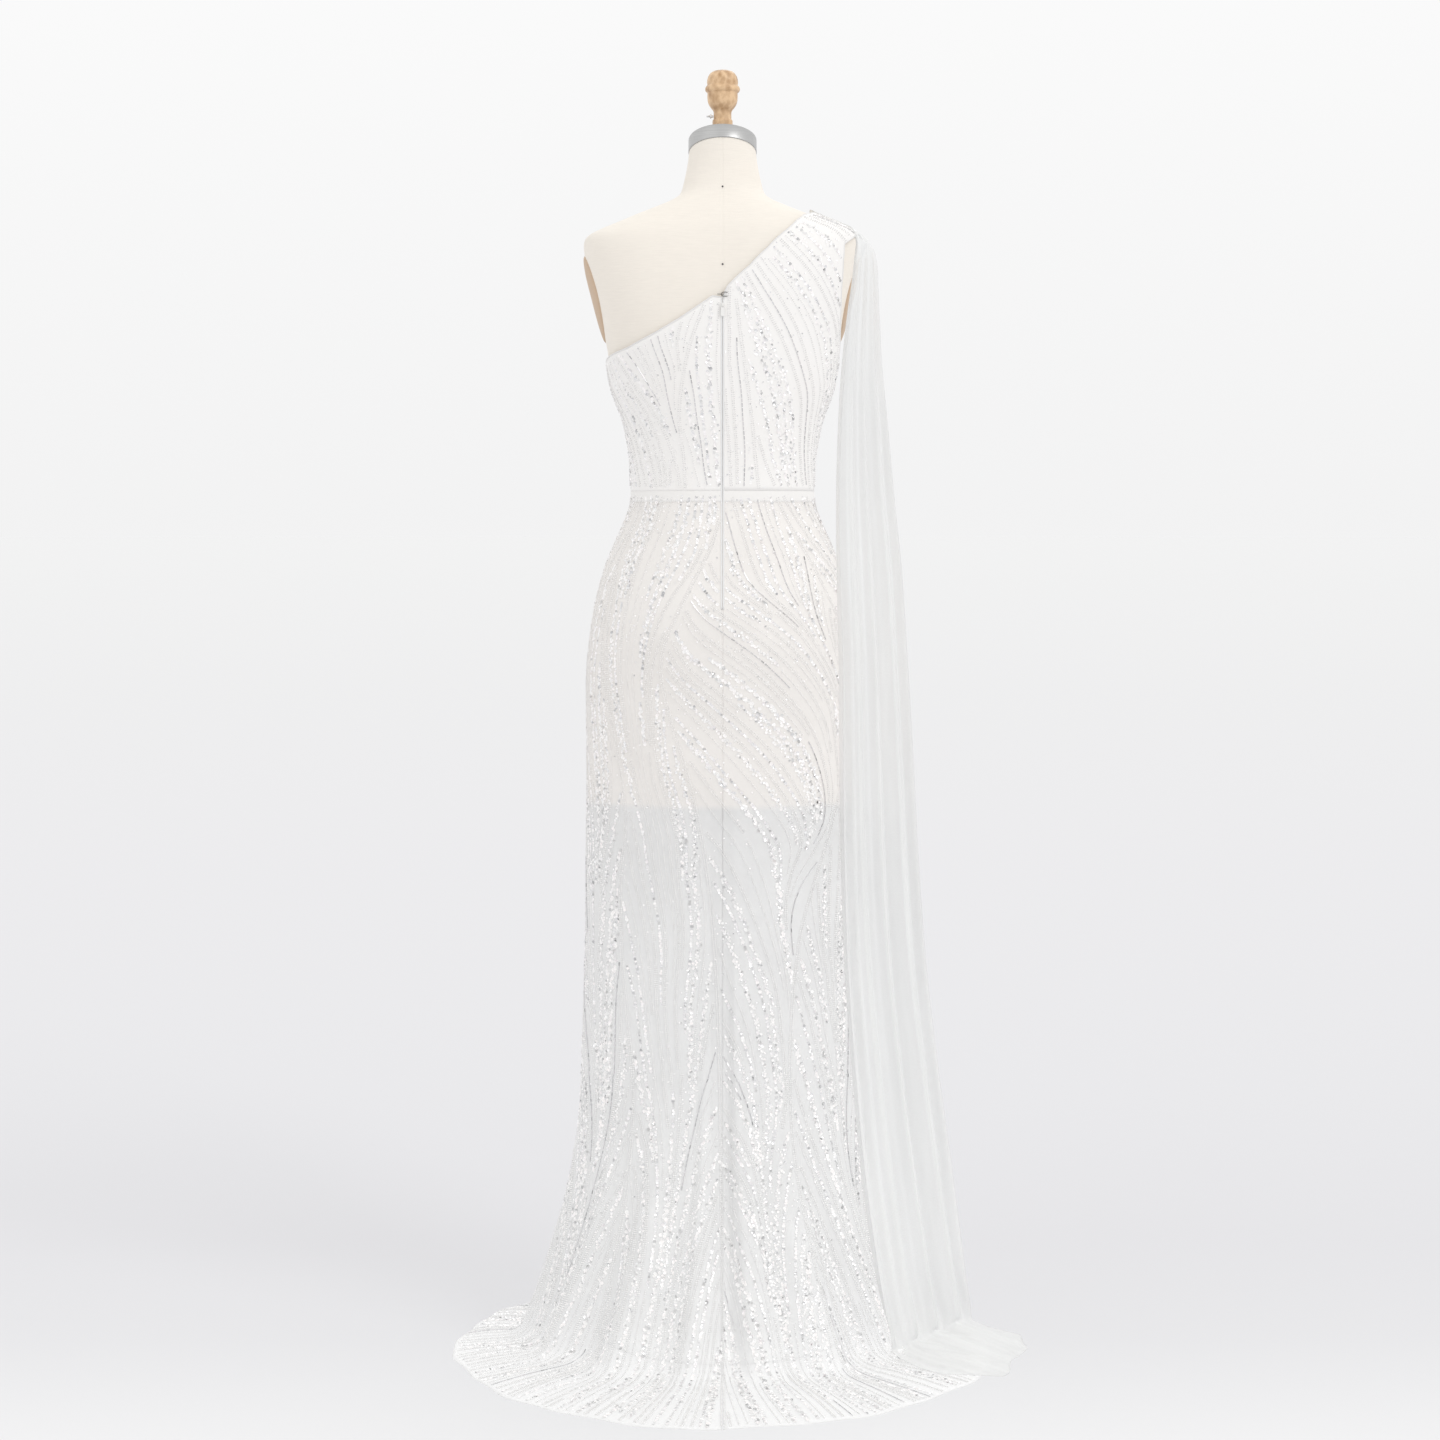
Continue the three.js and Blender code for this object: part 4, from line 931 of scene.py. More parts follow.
def backed_tulle(name, colour, backing, cell):
    """Net laid over satin, as on the bodice: opaque, with the net just seen on the cloth behind it."""
    finish = Finish(name, colour, 0.55, Sheen_Weight=0.2, Sheen_Roughness=0.4)
    threads = finish.math("MINIMUM", finish.math("MAXIMUM", net(finish, cell), 0.0), 1.0)
    cloud = finish.noise(finish.place(), 16.0, 3.0)
    shade = finish.math("ADD", finish.math("MULTIPLY", threads, 0.55), finish.math("MULTIPLY", cloud, 0.45))
    finish.colour(finish.ramp(shade, [(0.25, backing), (0.75, colour)]))
    return finish.bump(threads, 0.00012, 0.4).material


def satin(name, colour):
    finish = Finish(name, colour, 0.5, Sheen_Weight=0.25, Sheen_Roughness=0.35)
    place = finish.place("UV")
    floats = finish.threads(place, 0.0004, "Y")
    cloud = finish.noise(place, 12.0, 3.0)
    finish.colour(finish.ramp(cloud, [(0.3, shades(colour, 0.97)[0]), (0.7, shades(colour, 1.02)[0])]))
    return finish.bump(floats, 0.00005, 0.4).material


def chiffon(name, colour, cover):
    finish = Finish(name, colour, 0.75, Sheen_Weight=0.1, Sheen_Roughness=0.4)
    place = finish.place("UV")
    crepe = finish.noise(finish.place("UV", scale=(1, 0.35, 1)), 1500.0, 2.0)
    weave = finish.math("MULTIPLY", finish.threads(place, 0.0005, "X"), finish.threads(place, 0.0005, "Y"))
    cloud = finish.noise(finish.place("UV", scale=(1, 0.12, 1)), 40.0, 3.0)
    alpha = finish.math(
        "ADD", finish.span(crepe, cover * 0.85, cover * 1.15), finish.span(cloud, -0.04, 0.04)
    )
    height = finish.add("ShaderNodeSeparateXYZ")
    finish.link(finish.place(), height.inputs["Vector"])
    gathered = finish.add("ShaderNodeMapRange")
    gathered.inputs["From Min"].default_value = 1.455
    gathered.inputs["From Max"].default_value = 1.5
    finish.link(height.outputs["Z"], gathered.inputs["Value"])
    alpha = finish.math("ADD", alpha, finish.math("MULTIPLY", gathered.outputs["Result"], 0.85))
    finish.link(alpha, finish.shader.inputs["Alpha"])
    # Painted shade: where the chiffon lies on the floor its colour is made darker than where it hangs, to
    # offset the light and sheen it catches there.
    hung = finish.add("ShaderNodeMapRange")
    hung.inputs["From Min"].default_value = 0.02
    hung.inputs["From Max"].default_value = 0.12
    finish.link(height.outputs["Z"], hung.inputs["Value"])
    tint = finish.add("ShaderNodeMix", data_type="RGBA")
    finish.link(hung.outputs["Result"], tint.inputs["Factor"])
    finish.link(
        finish.ramp(cloud, [(0.3, shades(colour, 0.89)[0]), (0.7, shades(colour, 0.95)[0])]), tint.inputs["A"]
    )
    finish.link(
        finish.ramp(cloud, [(0.3, shades(colour, 0.96)[0]), (0.7, shades(colour, 1.02)[0])]), tint.inputs["B"]
    )
    finish.colour(tint.outputs["Result"])
    return finish.bump(finish.math("ADD", weave, crepe), 0.0001, 0.35).material


def sequin_film(name, colour, roughness, metallic):
    """Pressed film: each sequin a little lighter, darker, pinker or bluer than the next."""
    finish = Finish(name, colour, roughness, metallic, Coat_Weight=0.6, Coat_Roughness=0.08)
    tone = finish.add("ShaderNodeAttribute", attribute_name="tone").outputs["Fac"]
    dull, low, high = shades(colour, 0.56, 0.86, 1.06)
    rose = tuple(min(1, c * k) for c, k in zip(high, (1.0, 0.965, 0.965)))
    finish.colour(finish.ramp(tone, [(0.0, dull), (0.14, low), (0.42, colour), (0.75, rose), (1.0, high)]))
    finish.rough(finish.span(tone, roughness * 0.7, roughness * 1.5))
    return finish.material


def glass_bead(name, colour, roughness):
    finish = Finish(name, colour, roughness, 0.0, Coat_Weight=0.8, Coat_Roughness=0.06)
    tone = finish.add("ShaderNodeAttribute", attribute_name="tone").outputs["Fac"]
    finish.colour(finish.ramp(tone, [(0.0, shades(colour, 0.86)[0]), (1.0, shades(colour, 1.06)[0])]))
    return finish.material


def enamel(name, colour):
    finish = Finish(name, colour, 0.3, Coat_Weight=0.5, Coat_Roughness=0.15)
    finish.rough(finish.span(finish.noise(finish.place(), 900.0), 0.24, 0.4))
    return finish.material


def thread(name, colour):
    finish = Finish(name, colour, 0.8, Sheen_Weight=0.2)
    twist = finish.threads(finish.place(turn=(0.6, 0.6, 0.4)), 0.0005, "X")
    finish.colour(finish.ramp(twist, [(0.2, shades(colour, 0.9)[0]), (0.8, colour)]))
    return finish.bump(twist, 0.0001, 0.5).material


# The size and colour settings


class FormSettings(bpy.types.PropertyGroup):
    linen_colour: bpy.props.FloatVectorProperty(
        name="Linen", description="Colour of the form's cover", subtype="COLOR", size=3,
        default=(0.91, 0.855, 0.775)
    )
    # The arm plates' brown is painted shade: linen like the body's, coloured darker as it was seen in shade.
    plate_shaded_colour: bpy.props.FloatVectorProperty(
        name="Arm plates", description="Colour of the cloth over the armholes", subtype="COLOR", size=3,
        default=(0.62, 0.47, 0.34)
    )
    wood_dark: bpy.props.FloatVectorProperty(
        name="Wood figure", description="Darker figure of the turned knob", subtype="COLOR", size=3,
        default=(0.44, 0.25, 0.115)
    )
    wood_light: bpy.props.FloatVectorProperty(
        name="Wood ground", description="Lighter ground of the turned knob", subtype="COLOR", size=3,
        default=(0.8, 0.555, 0.33)
    )


class ClothSettings(bpy.types.PropertyGroup):
    net_cell: bpy.props.FloatProperty(
        name="Net cell", description="Size of the holes in the tulle", subtype="DISTANCE", default=0.0014,
        min=0.0005
    )
    net_cover: bpy.props.FloatProperty(
        name="Net cover", description="How much one wall of the tulle hides", subtype="FACTOR", default=0.44,
        min=0, max=1
    )
    chiffon_cover: bpy.props.FloatProperty(
        name="Chiffon cover", description="How much one wall of the chiffon hides", subtype="FACTOR",
        default=0.56, min=0, max=1
    )
    tulle_colour: bpy.props.FloatVectorProperty(
        name="Tulle", description="Colour of the net", subtype="COLOR", size=3, default=(0.815, 0.815, 0.81)
    )
    lined_colour: bpy.props.FloatVectorProperty(
        name="Lined tulle", description="Colour of the net over its lining", subtype="COLOR", size=3,
        default=(0.855, 0.83, 0.8)
    )
    lining_colour: bpy.props.FloatVectorProperty(
        name="Lining", description="Colour of the lining", subtype="COLOR", size=3,
        default=(0.92, 0.865, 0.825)
    )
    chiffon_colour: bpy.props.FloatVectorProperty(
        name="Chiffon", description="Colour of the streamer", subtype="COLOR", size=3,
        default=(0.835, 0.84, 0.832)
    )


class BeadSettings(bpy.types.PropertyGroup):
    line_gap: bpy.props.FloatProperty(
        name="Line gap", description="Distance between beaded lines", subtype="DISTANCE", default=0.0098,
        min=0.006
    )
    sequin_size: bpy.props.FloatProperty(
        name="Sequin", description="Diameter of a sequin", subtype="DISTANCE", default=0.0039, min=0.001
    )
    bead_size: bpy.props.FloatProperty(
        name="Seed bead", description="Diameter of a seed bead", subtype="DISTANCE", default=0.0019, min=0.001
    )
    bugle_length: bpy.props.FloatProperty(
        name="Bugle", description="Length of a bugle bead", subtype="DISTANCE", default=0.0052, min=0.002
    )
    seed: bpy.props.IntProperty(name="Seed", description="Start of the random scatter", default=11, min=0)


class GownSettings(bpy.types.PropertyGroup):
    form: bpy.props.PointerProperty(type=FormSettings, name="Form", description="The dress form")
    cloth: bpy.props.PointerProperty(
        type=ClothSettings, name="Cloth", description="Tulle, lining and chiffon"
    )
    beads: bpy.props.PointerProperty(type=BeadSettings, name="Beads", description="Beads and sequins")


def settings():
    return bpy.context.scene.gown_settings


def shared(name, make, *values):
    """A material by name, made the first time it is asked for."""
    return bpy.data.materials.get(name) or make(name, *values)


# The form and its stand


def form_seams(angle, level):
    """How deep the form's sewn seams lie: centre lines, princess lines, sides, shoulders and neck."""
    degrees = np.degrees(angle)
    depth = 0
    for middle in (0, 42, 90, 138, 180, 222, 270, 318):
        width = 0.55 if middle in (0, 180) else 0.5
        fade = smooth((27.6 - level) / 0.6) if middle in (42, 318, 138, 222) else 1
        depth = depth + 0.5 * fade * np.exp(-((angle_away(degrees, middle) / width) ** 2))
    return depth + 0.5 * np.exp(-(((level - 27.75) / 0.07) ** 2))


def build_form_body():
    colour = tuple(settings().form.linen_colour)
    columns, rows = 288, 104
    angle = np.linspace(0, 2 * np.pi, columns, endpoint=False)[None, :]
    level = np.linspace(FORM_BOTTOM_LEVEL, TOP_LEVEL, rows)[:, None]
    angle, level = np.broadcast_arrays(angle, level)
    points = figure_point(angle, level, BUST_RISE - BUST_EASE)
    points = points - outward(angle, level) * form_seams(angle, level)[..., None]
    rounding = []
    for inset, drop in ((0.9, 5), (0.96, 3.6), (0.99, 1.4)):
        ring = points[0] * np.array([inset, inset, 1])
        ring[:, 2] -= drop
        rounding.append(ring)
    points = np.concatenate([np.array(rounding), points])
    faces = grid_faces(len(points), columns, closed=True)
    body = mesh_object("form_body", points.reshape(-1, 3) * MM, faces, [shared("form linen", linen, colour)])
    deselect()
    bpy.context.view_layer.objects.active = body
    body.select_set(True)
    bpy.ops.object.mode_set(mode="EDIT")
    bpy.ops.mesh.select_all(action="SELECT")
    bpy.ops.mesh.fill_holes(sides=0)
    bpy.ops.mesh.normals_make_consistent(inside=False)
    bpy.ops.object.mode_set(mode="OBJECT")
    riding(body, GOWN, "form_torso", slot="form_linen")


def build_arm_plates():
    # Painted shade: the plates' linen is coloured brown for the shade it lies in.
    colour = tuple(settings().form.plate_shaded_colour)
    material = shared("arm plate linen", linen, colour)
    for name, side in (("form_arm_plate_left", 1), ("form_arm_plate_right", -1)):
        share = np.linspace(0, 1, 24)[:, None]
        turn = np.linspace(0, 2 * np.pi, 72, endpoint=False)[None, :]
        angle = side * np.pi / 2 + math.radians(11.5) * share * np.cos(turn)
        level = 18.9 + 1.85 * share * np.sin(turn)
        out = 0.6 + (ARM_PLATE_OUT - 0.8) * np.sqrt(np.clip(1 - share**2, 0, 1)) + 0 * turn
        dome = cloth_point(angle, level, out)
        foot = cloth_point(angle[-1:], level[-1:], -0.6)
        points = np.concatenate([dome, foot]).reshape(-1, 3)
        faces = grid_faces(25, 72, closed=True)
        plate = mesh_object(name + "_cover", points * MM, faces, [material])
        deselect()
        bpy.context.view_layer.objects.active = plate
        plate.select_set(True)
        bpy.ops.object.mode_set(mode="EDIT")
        bpy.ops.mesh.select_all(action="SELECT")
        bpy.ops.mesh.remove_doubles(threshold=1e-6)
        bpy.ops.mesh.fill_holes(sides=0)
        bpy.ops.mesh.normals_make_consistent(inside=False)
        bpy.ops.object.mode_set(mode="OBJECT")
        riding(plate, GOWN, name, slot="plate_linen")


def neck_frame():
    return Matrix.Translation((0, 0, NECK_TOP_Z * MM)) @ Matrix.Rotation(NECK_TILT, 4, "X")


def build_neck_cap():
    steel = shared("neck steel", brushed_steel, (0.52, 0.52, 0.515), 0.3)
    height, radius = 20, 45.6
    profile = [
        (0, 0.3), (radius - 0.6, 0.3), (radius, 0.9), (radius, height - 1.6), (radius - 0.5, height - 0.5)
    ]
    profile += [(radius - 1.6, height), (radius - 8, height + 0.1), (0, height + 0.2)]
    cap = moved(spun("neck_cap_steel", profile, steel, 96), neck_frame())
    riding(cap, GOWN, "form_neck_cap", slot="neck_steel")


def build_finial():
    look = settings().form
    wood = shared("turned wood", turned_wood, tuple(look.wood_dark), tuple(look.wood_light))
    base = 1600
    profile = [
        (0, 0), (13.2, 0), (13.5, 39.5), (13.2, 41.2), (12.1, 42.4), (11.8, 44), (11.8, 50), (12.1, 52.6)
    ]
    profile += [(13.2, 54.6), (13.9, 55.4), (15.4, 57.2), (17.4, 60), (19, 63.2), (19.9, 67), (20.3, 71.5)]
    profile += [
        (20.2, 76.5), (20.4, 77.6), (22.2, 78.9), (23.1, 80.6), (23.3, 82.4), (22.9, 84.2), (21.9, 85.8)
    ]
    profile += [(20.7, 86.9), (20.4, 88.2), (20.8, 91), (20.4, 95), (19, 99.4), (16.4, 103.2), (12.4, 105.9)]
    profile += [(7, 107.3), (0, 107.8)]
    knob = spun("finial_knob", [(r, z + base) for r, z in profile], wood, 72)
    deselect()
    knob.select_set(True)
    bpy.context.view_layer.objects.active = knob
    bpy.ops.object.mode_set(mode="EDIT")
    bpy.ops.mesh.select_all(action="SELECT")
    slope = neck_frame()
    normal = slope.to_3x3() @ Vector((0, 0, 1))
    foot = slope @ Vector((0, 0, 20.6 * MM))
    bpy.ops.mesh.bisect(plane_co=foot, plane_no=normal, use_fill=True, clear_inner=True)
    bpy.ops.mesh.select_all(action="SELECT")
    bpy.ops.mesh.normals_make_consistent(inside=False)
    bpy.ops.object.mode_set(mode="OBJECT")
    bpy.ops.object.shade_smooth_by_angle(angle=math.radians(35))
    riding(knob, GOWN, "form_finial", slot="finial_wood")


def build_thumbscrew():
    metal = shared("screw chrome", chrome)
    axis = Matrix.Translation((0, 0, 1646.5 * MM)) @ Matrix.Rotation(math.pi / 2, 4, "Y")
    shank = [
        (0, 12.3), (1.2, 12.3), (1.7, 12.6), (1.7, 14.9), (2.9, 15.1), (3.1, 15.5), (3.1, 16.1), (2.8, 16.6)
    ]
    shank += [(1.5, 16.9), (1.4, 18.4), (0, 18.8)]
    pieces = [moved(spun("screw_shank", shank, metal, 32), axis)]
    for side in (-1, 1):
        deselect()
        bpy.ops.mesh.primitive_uv_sphere_add(segments=20, ring_count=12, radius=1)
        wing = bpy.context.object
        wing.data.transform(Matrix.Diagonal((2.5 * MM, 2.7 * MM, 0.95 * MM, 1)))
        wing.data.transform(Matrix.Translation((19.3 * MM, side * 3.3 * MM, 1646.5 * MM)))
        wing.data.materials.append(metal)
        bpy.ops.object.shade_smooth()
        pieces.append(wing)
    screw = joined("wing_screw", pieces)
    riding(screw, SCREW, "form_thumbscrew", slot="screw_chrome")


def build_stand():
    iron = shared("stand iron", painted_iron, (0.78, 0.78, 0.78))
    steel = shared("pole steel", brushed_steel, (0.8, 0.8, 0.8), 0.35)
    outer, rim, bore = 168, 12, 16.3
    profile = [
        (0, 0),
        (outer - 1.5, 0),
        (outer, 1.5),
        (outer, 6),
        (outer - 1, 9),
        (outer - 4, 11.4),
        (outer - 9, rim),
    ]
    profile += [
        (60, 14.5), (40, 17.5), (31, 24), (26.5, 34), (25, 46), (24.3, 58), (23.2, 60), (bore + 0.6, 60)
    ]
    profile += [(bore, 59.4), (bore, rim), (0, rim)]
    base = spun("stand_foot", profile, iron, 96)
    riding(base, GOWN, "stand_base", slot="stand_iron")
    low, high, radius = 12.4, 844.6, 16
    tube_profile = [
        (0, low),
        (radius - 0.5, low),
        (radius, low + 0.5),
        (radius, high - 0.5),
        (radius - 0.5, high),
        (0, high),
    ]
    pole = spun("stand_tube", tube_profile, steel, 48)
    riding(pole, GOWN, "stand_pole", slot="pole_steel")


def build_pins():
    """Two dark pin heads on the form's centre back."""
    dark = shared("pin heads", enamel, (0.03, 0.03, 0.035))
    heads = []
    for height in (1548, 1443):
        angle, level = place_on_figure(0.01, height, True)
        at = cloth_point(angle, level, 0.4)
        deselect()
        bpy.ops.mesh.primitive_uv_sphere_add(segments=16, ring_count=8, radius=1.2 * MM, location=at * MM)
        bpy.ops.object.transform_apply(location=True, rotation=True, scale=True)
        bpy.context.object.data.materials.append(dark)
        bpy.ops.object.shade_smooth()
        heads.append(bpy.context.object)
    riding(joined("form_pins", heads), GOWN)


# The gown's cloth


def build_bodice():
    look = settings().cloth
    material = shared(
        "tulle over satin", backed_tulle, (0.925, 0.91, 0.89), (0.885, 0.845, 0.81), look.net_cell
    )
    binding = shared("edge binding", thread, (0.87, 0.86, 0.845))
    for name, edges in bodice_edges().items():
        places = patch_places(edges, 50, 56)
        angle, level = places[..., 0], places[..., 1]
        middle = cloth_point(angle, level, CLOTH_OUT)
        out = CLOTH_OUT + crease_reach(angle, middle[..., 2])
        outer = cloth_point(angle, level, out)
        inner = cloth_point(angle, level, out - 1.0)
        panel = shell(name + "_cloth", outer, inner, [material], metric_uv(outer))
        riding(panel, GOWN, name, slot="beaded_tulle")
    for name, line in edge_lines().items():
        riding(tube(name, line, 1.0, binding), GOWN, slot="beaded_tulle")


def edge_lines():
    """The bound edges: the whole neckline and the armhole, as points just outside the cloth."""
    cut = bodice_edges()
    neck_back = cut["bodice_back_right"]["first"][1:]
    neck_left = cut["bodice_back_left"]["high"]
    neck_front = cut["bodice_front"]["first"][1:]
    arm_back, arm_front = (cut[name]["last"][1:] for name in ("bodice_back_right", "bodice_front"))
    lines = {
        "neck_edge_right": neck_back,
        "neck_edge_left": neck_left,
        "neck_edge_front": neck_front,
        "armhole_edge_back": arm_back,
        "armhole_edge_front": arm_front,
    }
    return {name: cloth_point(*along(line, 90).T, CLOTH_OUT - 0.4) for name, line in lines.items()}


def skirt_levels(rows):
    waist = level_of_side(1146.8)
    upper = np.linspace(waist, 0, int(rows * 0.5), endpoint=False)
    lower = np.linspace(0, FLOOR_LEVEL, int(rows * 0.32), endpoint=False)
    return np.concatenate([upper, lower, np.linspace(FLOOR_LEVEL, HEM_LEVEL, rows - len(upper) - len(lower))])


def build_skirt():
    look = settings().cloth
    material = shared(
        "sheer tulle",
        tulle,
        tuple(look.tulle_colour),
        tuple(look.lined_colour),
        look.net_cell,
        look.net_cover,
    )
    quarter, seam = math.pi / 2, 0.0013
    spans = {
        "skirt_back_left": (seam, quarter - seam, 84),
        "skirt_back_right": (-quarter + seam, -seam, 84),
        "skirt_front": (quarter + seam, 3 * quarter - seam, 108),
    }
    levels = skirt_levels(118)
    for name, (start, end, columns) in spans.items():
        angle = np.linspace(start, end, columns + 1)[None, :]
        outer = gown_point(angle, levels[:, None])
        normals = grid_normals(outer)
        if (normals[10, 10, :2] * outer[10, 10, :2]).sum() < 0:
            normals = -normals
        inner = outer - normals * TULLE_WALL
        inner[..., 2] = np.maximum(inner[..., 2], 0.3)
        panel = shell(name + "_cloth", outer, inner, [material], metric_uv(outer))
        lets_light_through(panel)
        riding(panel, GOWN, name, slot="beaded_tulle")


def build_lining():
    look = settings().cloth
    material = shared("lining satin", satin, tuple(look.lining_colour))
    levels = np.linspace(level_of_side(LINING_HEM_Z), level_of_side(1146.8), 32)[:, None]
    quarter, seam = math.pi / 2, 0.0013
    for name, start, end in (("lining_back", -quarter, quarter), ("lining_front", quarter, 3 * quarter)):
        angle = np.linspace(start + seam, end - seam, 73)[None, :]
        outer = cloth_point(angle, levels, LINING_OUT)
        inner = cloth_point(angle, levels, LINING_OUT - LINING_WALL)
        hem = smooth(1 - (levels - levels[0]) / 0.12)[..., None]
        wave = 0.7 * np.sin(angle * 9 + 0.4)[..., None] * unit(outer * np.array([1, 1, 0]))
        outer, inner = outer + hem * wave, inner + hem * wave
        panel = shell(name + "_cloth", outer, inner, [material], metric_uv(outer))
        riding(panel, GOWN, name, slot="lining_satin")


def build_waist_seam():
    """The seam allowance that shows through at the waist: a narrow plain band with a row of stitches."""
    band = shared("waist band", backed_tulle, (0.885, 0.868, 0.845), (0.87, 0.848, 0.82), 0.0014)
    stitches = shared("white thread", thread, (0.85, 0.85, 0.85))
    angle = np.linspace(0.002, 2 * np.pi - 0.002, 241)[None, :]
    heights = np.array([1147.6, 1146.6, 1140.0, 1134.0, 1132.8])
    levels = np.array([level_of_side(z) for z in heights])[:, None]
    proud = np.array([0.02, 0.16, 0.18, 0.16, 0.02])[:, None] + CLOTH_OUT + 0 * angle
    outer = gown_point(angle, levels, proud)
    inner = gown_point(angle, levels, CLOTH_OUT - 0.3)
    riding(shell("waist_seam_band", outer, inner, [band], metric_uv(outer)), GOWN, slot="beaded_tulle")
    pieces = []
    for height in (1134.4,):
        count = 260
        middle = np.linspace(0.01, 2 * np.pi - 0.01, count)
        half = 0.0075
        level = level_of_side(height)
        ends = [gown_point(middle + s * half, level + 0 * middle, CLOTH_OUT + 0.2) for s in (-1, 1)]
        pieces.append(dashes(ends[0], ends[1], 0.2))
    points, faces = stacked(pieces)
    riding(mesh_object("waist_stitches", points * MM, faces, [stitches]), GOWN)


def dashes(starts, ends, radius, sides=4):
    """Short round-ended rods between pairs of points: each is a small closed prism."""
    along_rod = unit(ends - starts)
    guide = np.where(abs(along_rod[:, 2:]) > 0.9, [[1.0, 0, 0]], [[0, 0, 1.0]])
    first = unit(np.cross(along_rod, guide))
    second = np.cross(along_rod, first)
    turn = np.linspace(0, 2 * np.pi, sides, endpoint=False)
    ring = np.cos(turn)[None, :, None] * first[:, None] + np.sin(turn)[None, :, None] * second[:, None]
    radius = np.broadcast_to(np.asarray(radius, float), (len(starts),))[:, None, None]
    points = np.concatenate([starts[:, None] + ring * radius, ends[:, None] + ring * radius], axis=1)
    template = [[k, (k + 1) % sides, sides + (k + 1) % sides] for k in range(sides)]
    template += [[k, sides + (k + 1) % sides, sides + k] for k in range(sides)]
    template += [[0, k + 1, k] for k in range(1, sides - 1)]
    template += [[sides, sides + k, sides + k + 1] for k in range(1, sides - 1)]
    return points, np.array(template)[:, ::-1]


def stacked(groups):
    """Many copies of small shapes as one list of points and one of faces."""
    points, faces, start = [], [], 0
    for shapes, template in groups:
        count, size = shapes.shape[:2]
        offsets = (np.arange(count) * size)[:, None, None] + start
        points.append(shapes.reshape(-1, 3))
        faces.append((template[None] + offsets).reshape(-1, template.shape[1]))
        start += count * size
    return np.concatenate(points), np.concatenate(faces)


def shoulder_height(x, y):
    angle = np.arctan2(x, y)
    low, high = np.full_like(x, TIP_LEVEL), np.full_like(x, float(TOP_LEVEL))
    for _ in range(30):
        middle = (low + high) / 2
        skin = figure_point(angle, middle)
        outside = np.hypot(skin[..., 0], skin[..., 1]) > np.hypot(x, y)
        low, high = np.where(outside, middle, low), np.where(outside, high, middle)
    return figure_point(angle, low)[..., 2]


def body_reach(angle, z):
    """How far from the axis the gown or the form reaches at an angle and a height."""
    flared = gown_point(angle, np.minimum((z - KNEE_Z) / LEVEL_DROP, -0.001))
    low, high = np.zeros_like(z), np.full_like(z, TIP_LEVEL)
    for _ in range(30):
        middle = (low + high) / 2
        below = figure_point(angle, middle)[..., 2] < z
        low, high = np.where(below, middle, low), np.where(below, high, middle)
    worn = cloth_point(angle, low, ARM_PLATE_OUT)
    reach = np.hypot(worn[..., 0], worn[..., 1]) + np.maximum(0, fold_reach(angle, z))
    return np.where(z < KNEE_Z, np.hypot(flared[..., 0], flared[..., 1]) + 1.8, reach)


def clear_of_body(points):
    x, y, z = points[..., 0], points[..., 1], points[..., 2]
    angle, radius = np.arctan2(x, y), np.hypot(x, y)
    tip = figure_point(angle, TIP_LEVEL + 0 * angle)
    above = z > tip[..., 2]
    over = above & (radius < np.hypot(tip[..., 0], tip[..., 1]))
    lowest = shoulder_height(x, y) + CLOTH_OUT * 1.1 + STREAMER_CLEARANCE
    z = np.where(over, np.maximum(z, lowest), z)
    reach = body_reach(angle, z) + STREAMER_CLEARANCE
    scale = np.where(above, 1, np.maximum(1, reach / radius))
    return np.stack([x * scale, y * scale, z], axis=-1)


def through(table, share):
    """Rows of a table at shares of the way down it, on smooth curves."""
    at = share * (len(table) - 1)
    first = np.minimum(np.floor(at).astype(int), len(table) - 2)
    t = (at - first)[:, None]
    a, b, c, d = (table[np.clip(first + k, 0, len(table) - 1)] for k in (-1, 0, 1, 2))
    t2, t3 = t * t, t * t * t
    slopes = (t3 - 2 * t2 + t) * (c - a) / 2 + (t3 - t2) * (d - b) / 2
    return (2 * t3 - 3 * t2 + 1) * b + (3 * t2 - 2 * t3) * c + slopes


def streamer_grid(columns, rows):
    """The streamer's under side: gathered on the shoulder, in long soft folds, and puddled on the train."""
    share = np.linspace(0, 1, rows)
    table = through(STREAMER_SECTIONS, share)
    back, out, depth = table[:, :3], table[:, 3:6], table[:, 6]
    u = np.linspace(0, 1, columns)[None, :]
    down = share[:, None]
    drift = 0.09 * np.sin(3.1 * down + 0.6) * np.sin(np.pi * u)
    phase = (u + drift) * STREAMER_FOLDS * 2 * np.pi
    wave = np.cos(phase) + 0.22 * np.cos(2.3 * phase + 4 * down) + 0.1 * np.cos(5.1 * phase + 1.2)
    wave = wave / 1.18
    chord = unit(out - back)
    side = unit(np.stack([chord[:, 1], -chord[:, 0], 0 * share], axis=-1))
    lying = smooth((30 - back[:, 2]) / 26)
    over = np.maximum(smooth((back[:, 2] - 1470) / 30), lying)[:, None]
    fold = unit(mix(side, np.array([0, 0, 1.0]), over))
    end = smooth((down - 0.93) / 0.07)
    across = mix(0.5, u, 1 - 0.3 * end**2) + 0.02 * end * np.sin(7 * u + 1)
    points = mix(back[:, None], out[:, None], across[..., None])
    onward = unit(np.gradient((back + out) / 2, axis=0))[:, None]
    points = points + onward * (end * (10 * np.sin(6.2 * u + 0.8) - 26 * (2 * u - 1) ** 4))[..., None]
    hung = clear_of_body(points + fold[:, None] * (depth[:, None] * wave)[..., None])
    past = np.hypot(points[..., 0], points[..., 1] - TRAIN_CENTRE_Y) - TRAIN_RADIUS
    bed = mix(FLOOR_CLOTH + 7.5, 1.2, smooth((past + 30) / 60))
    laid = points.copy()
    laid[..., 2] = bed + depth[:, None] * (1 + wave) * 0.9
    return mix(hung, laid, lying[:, None, None])


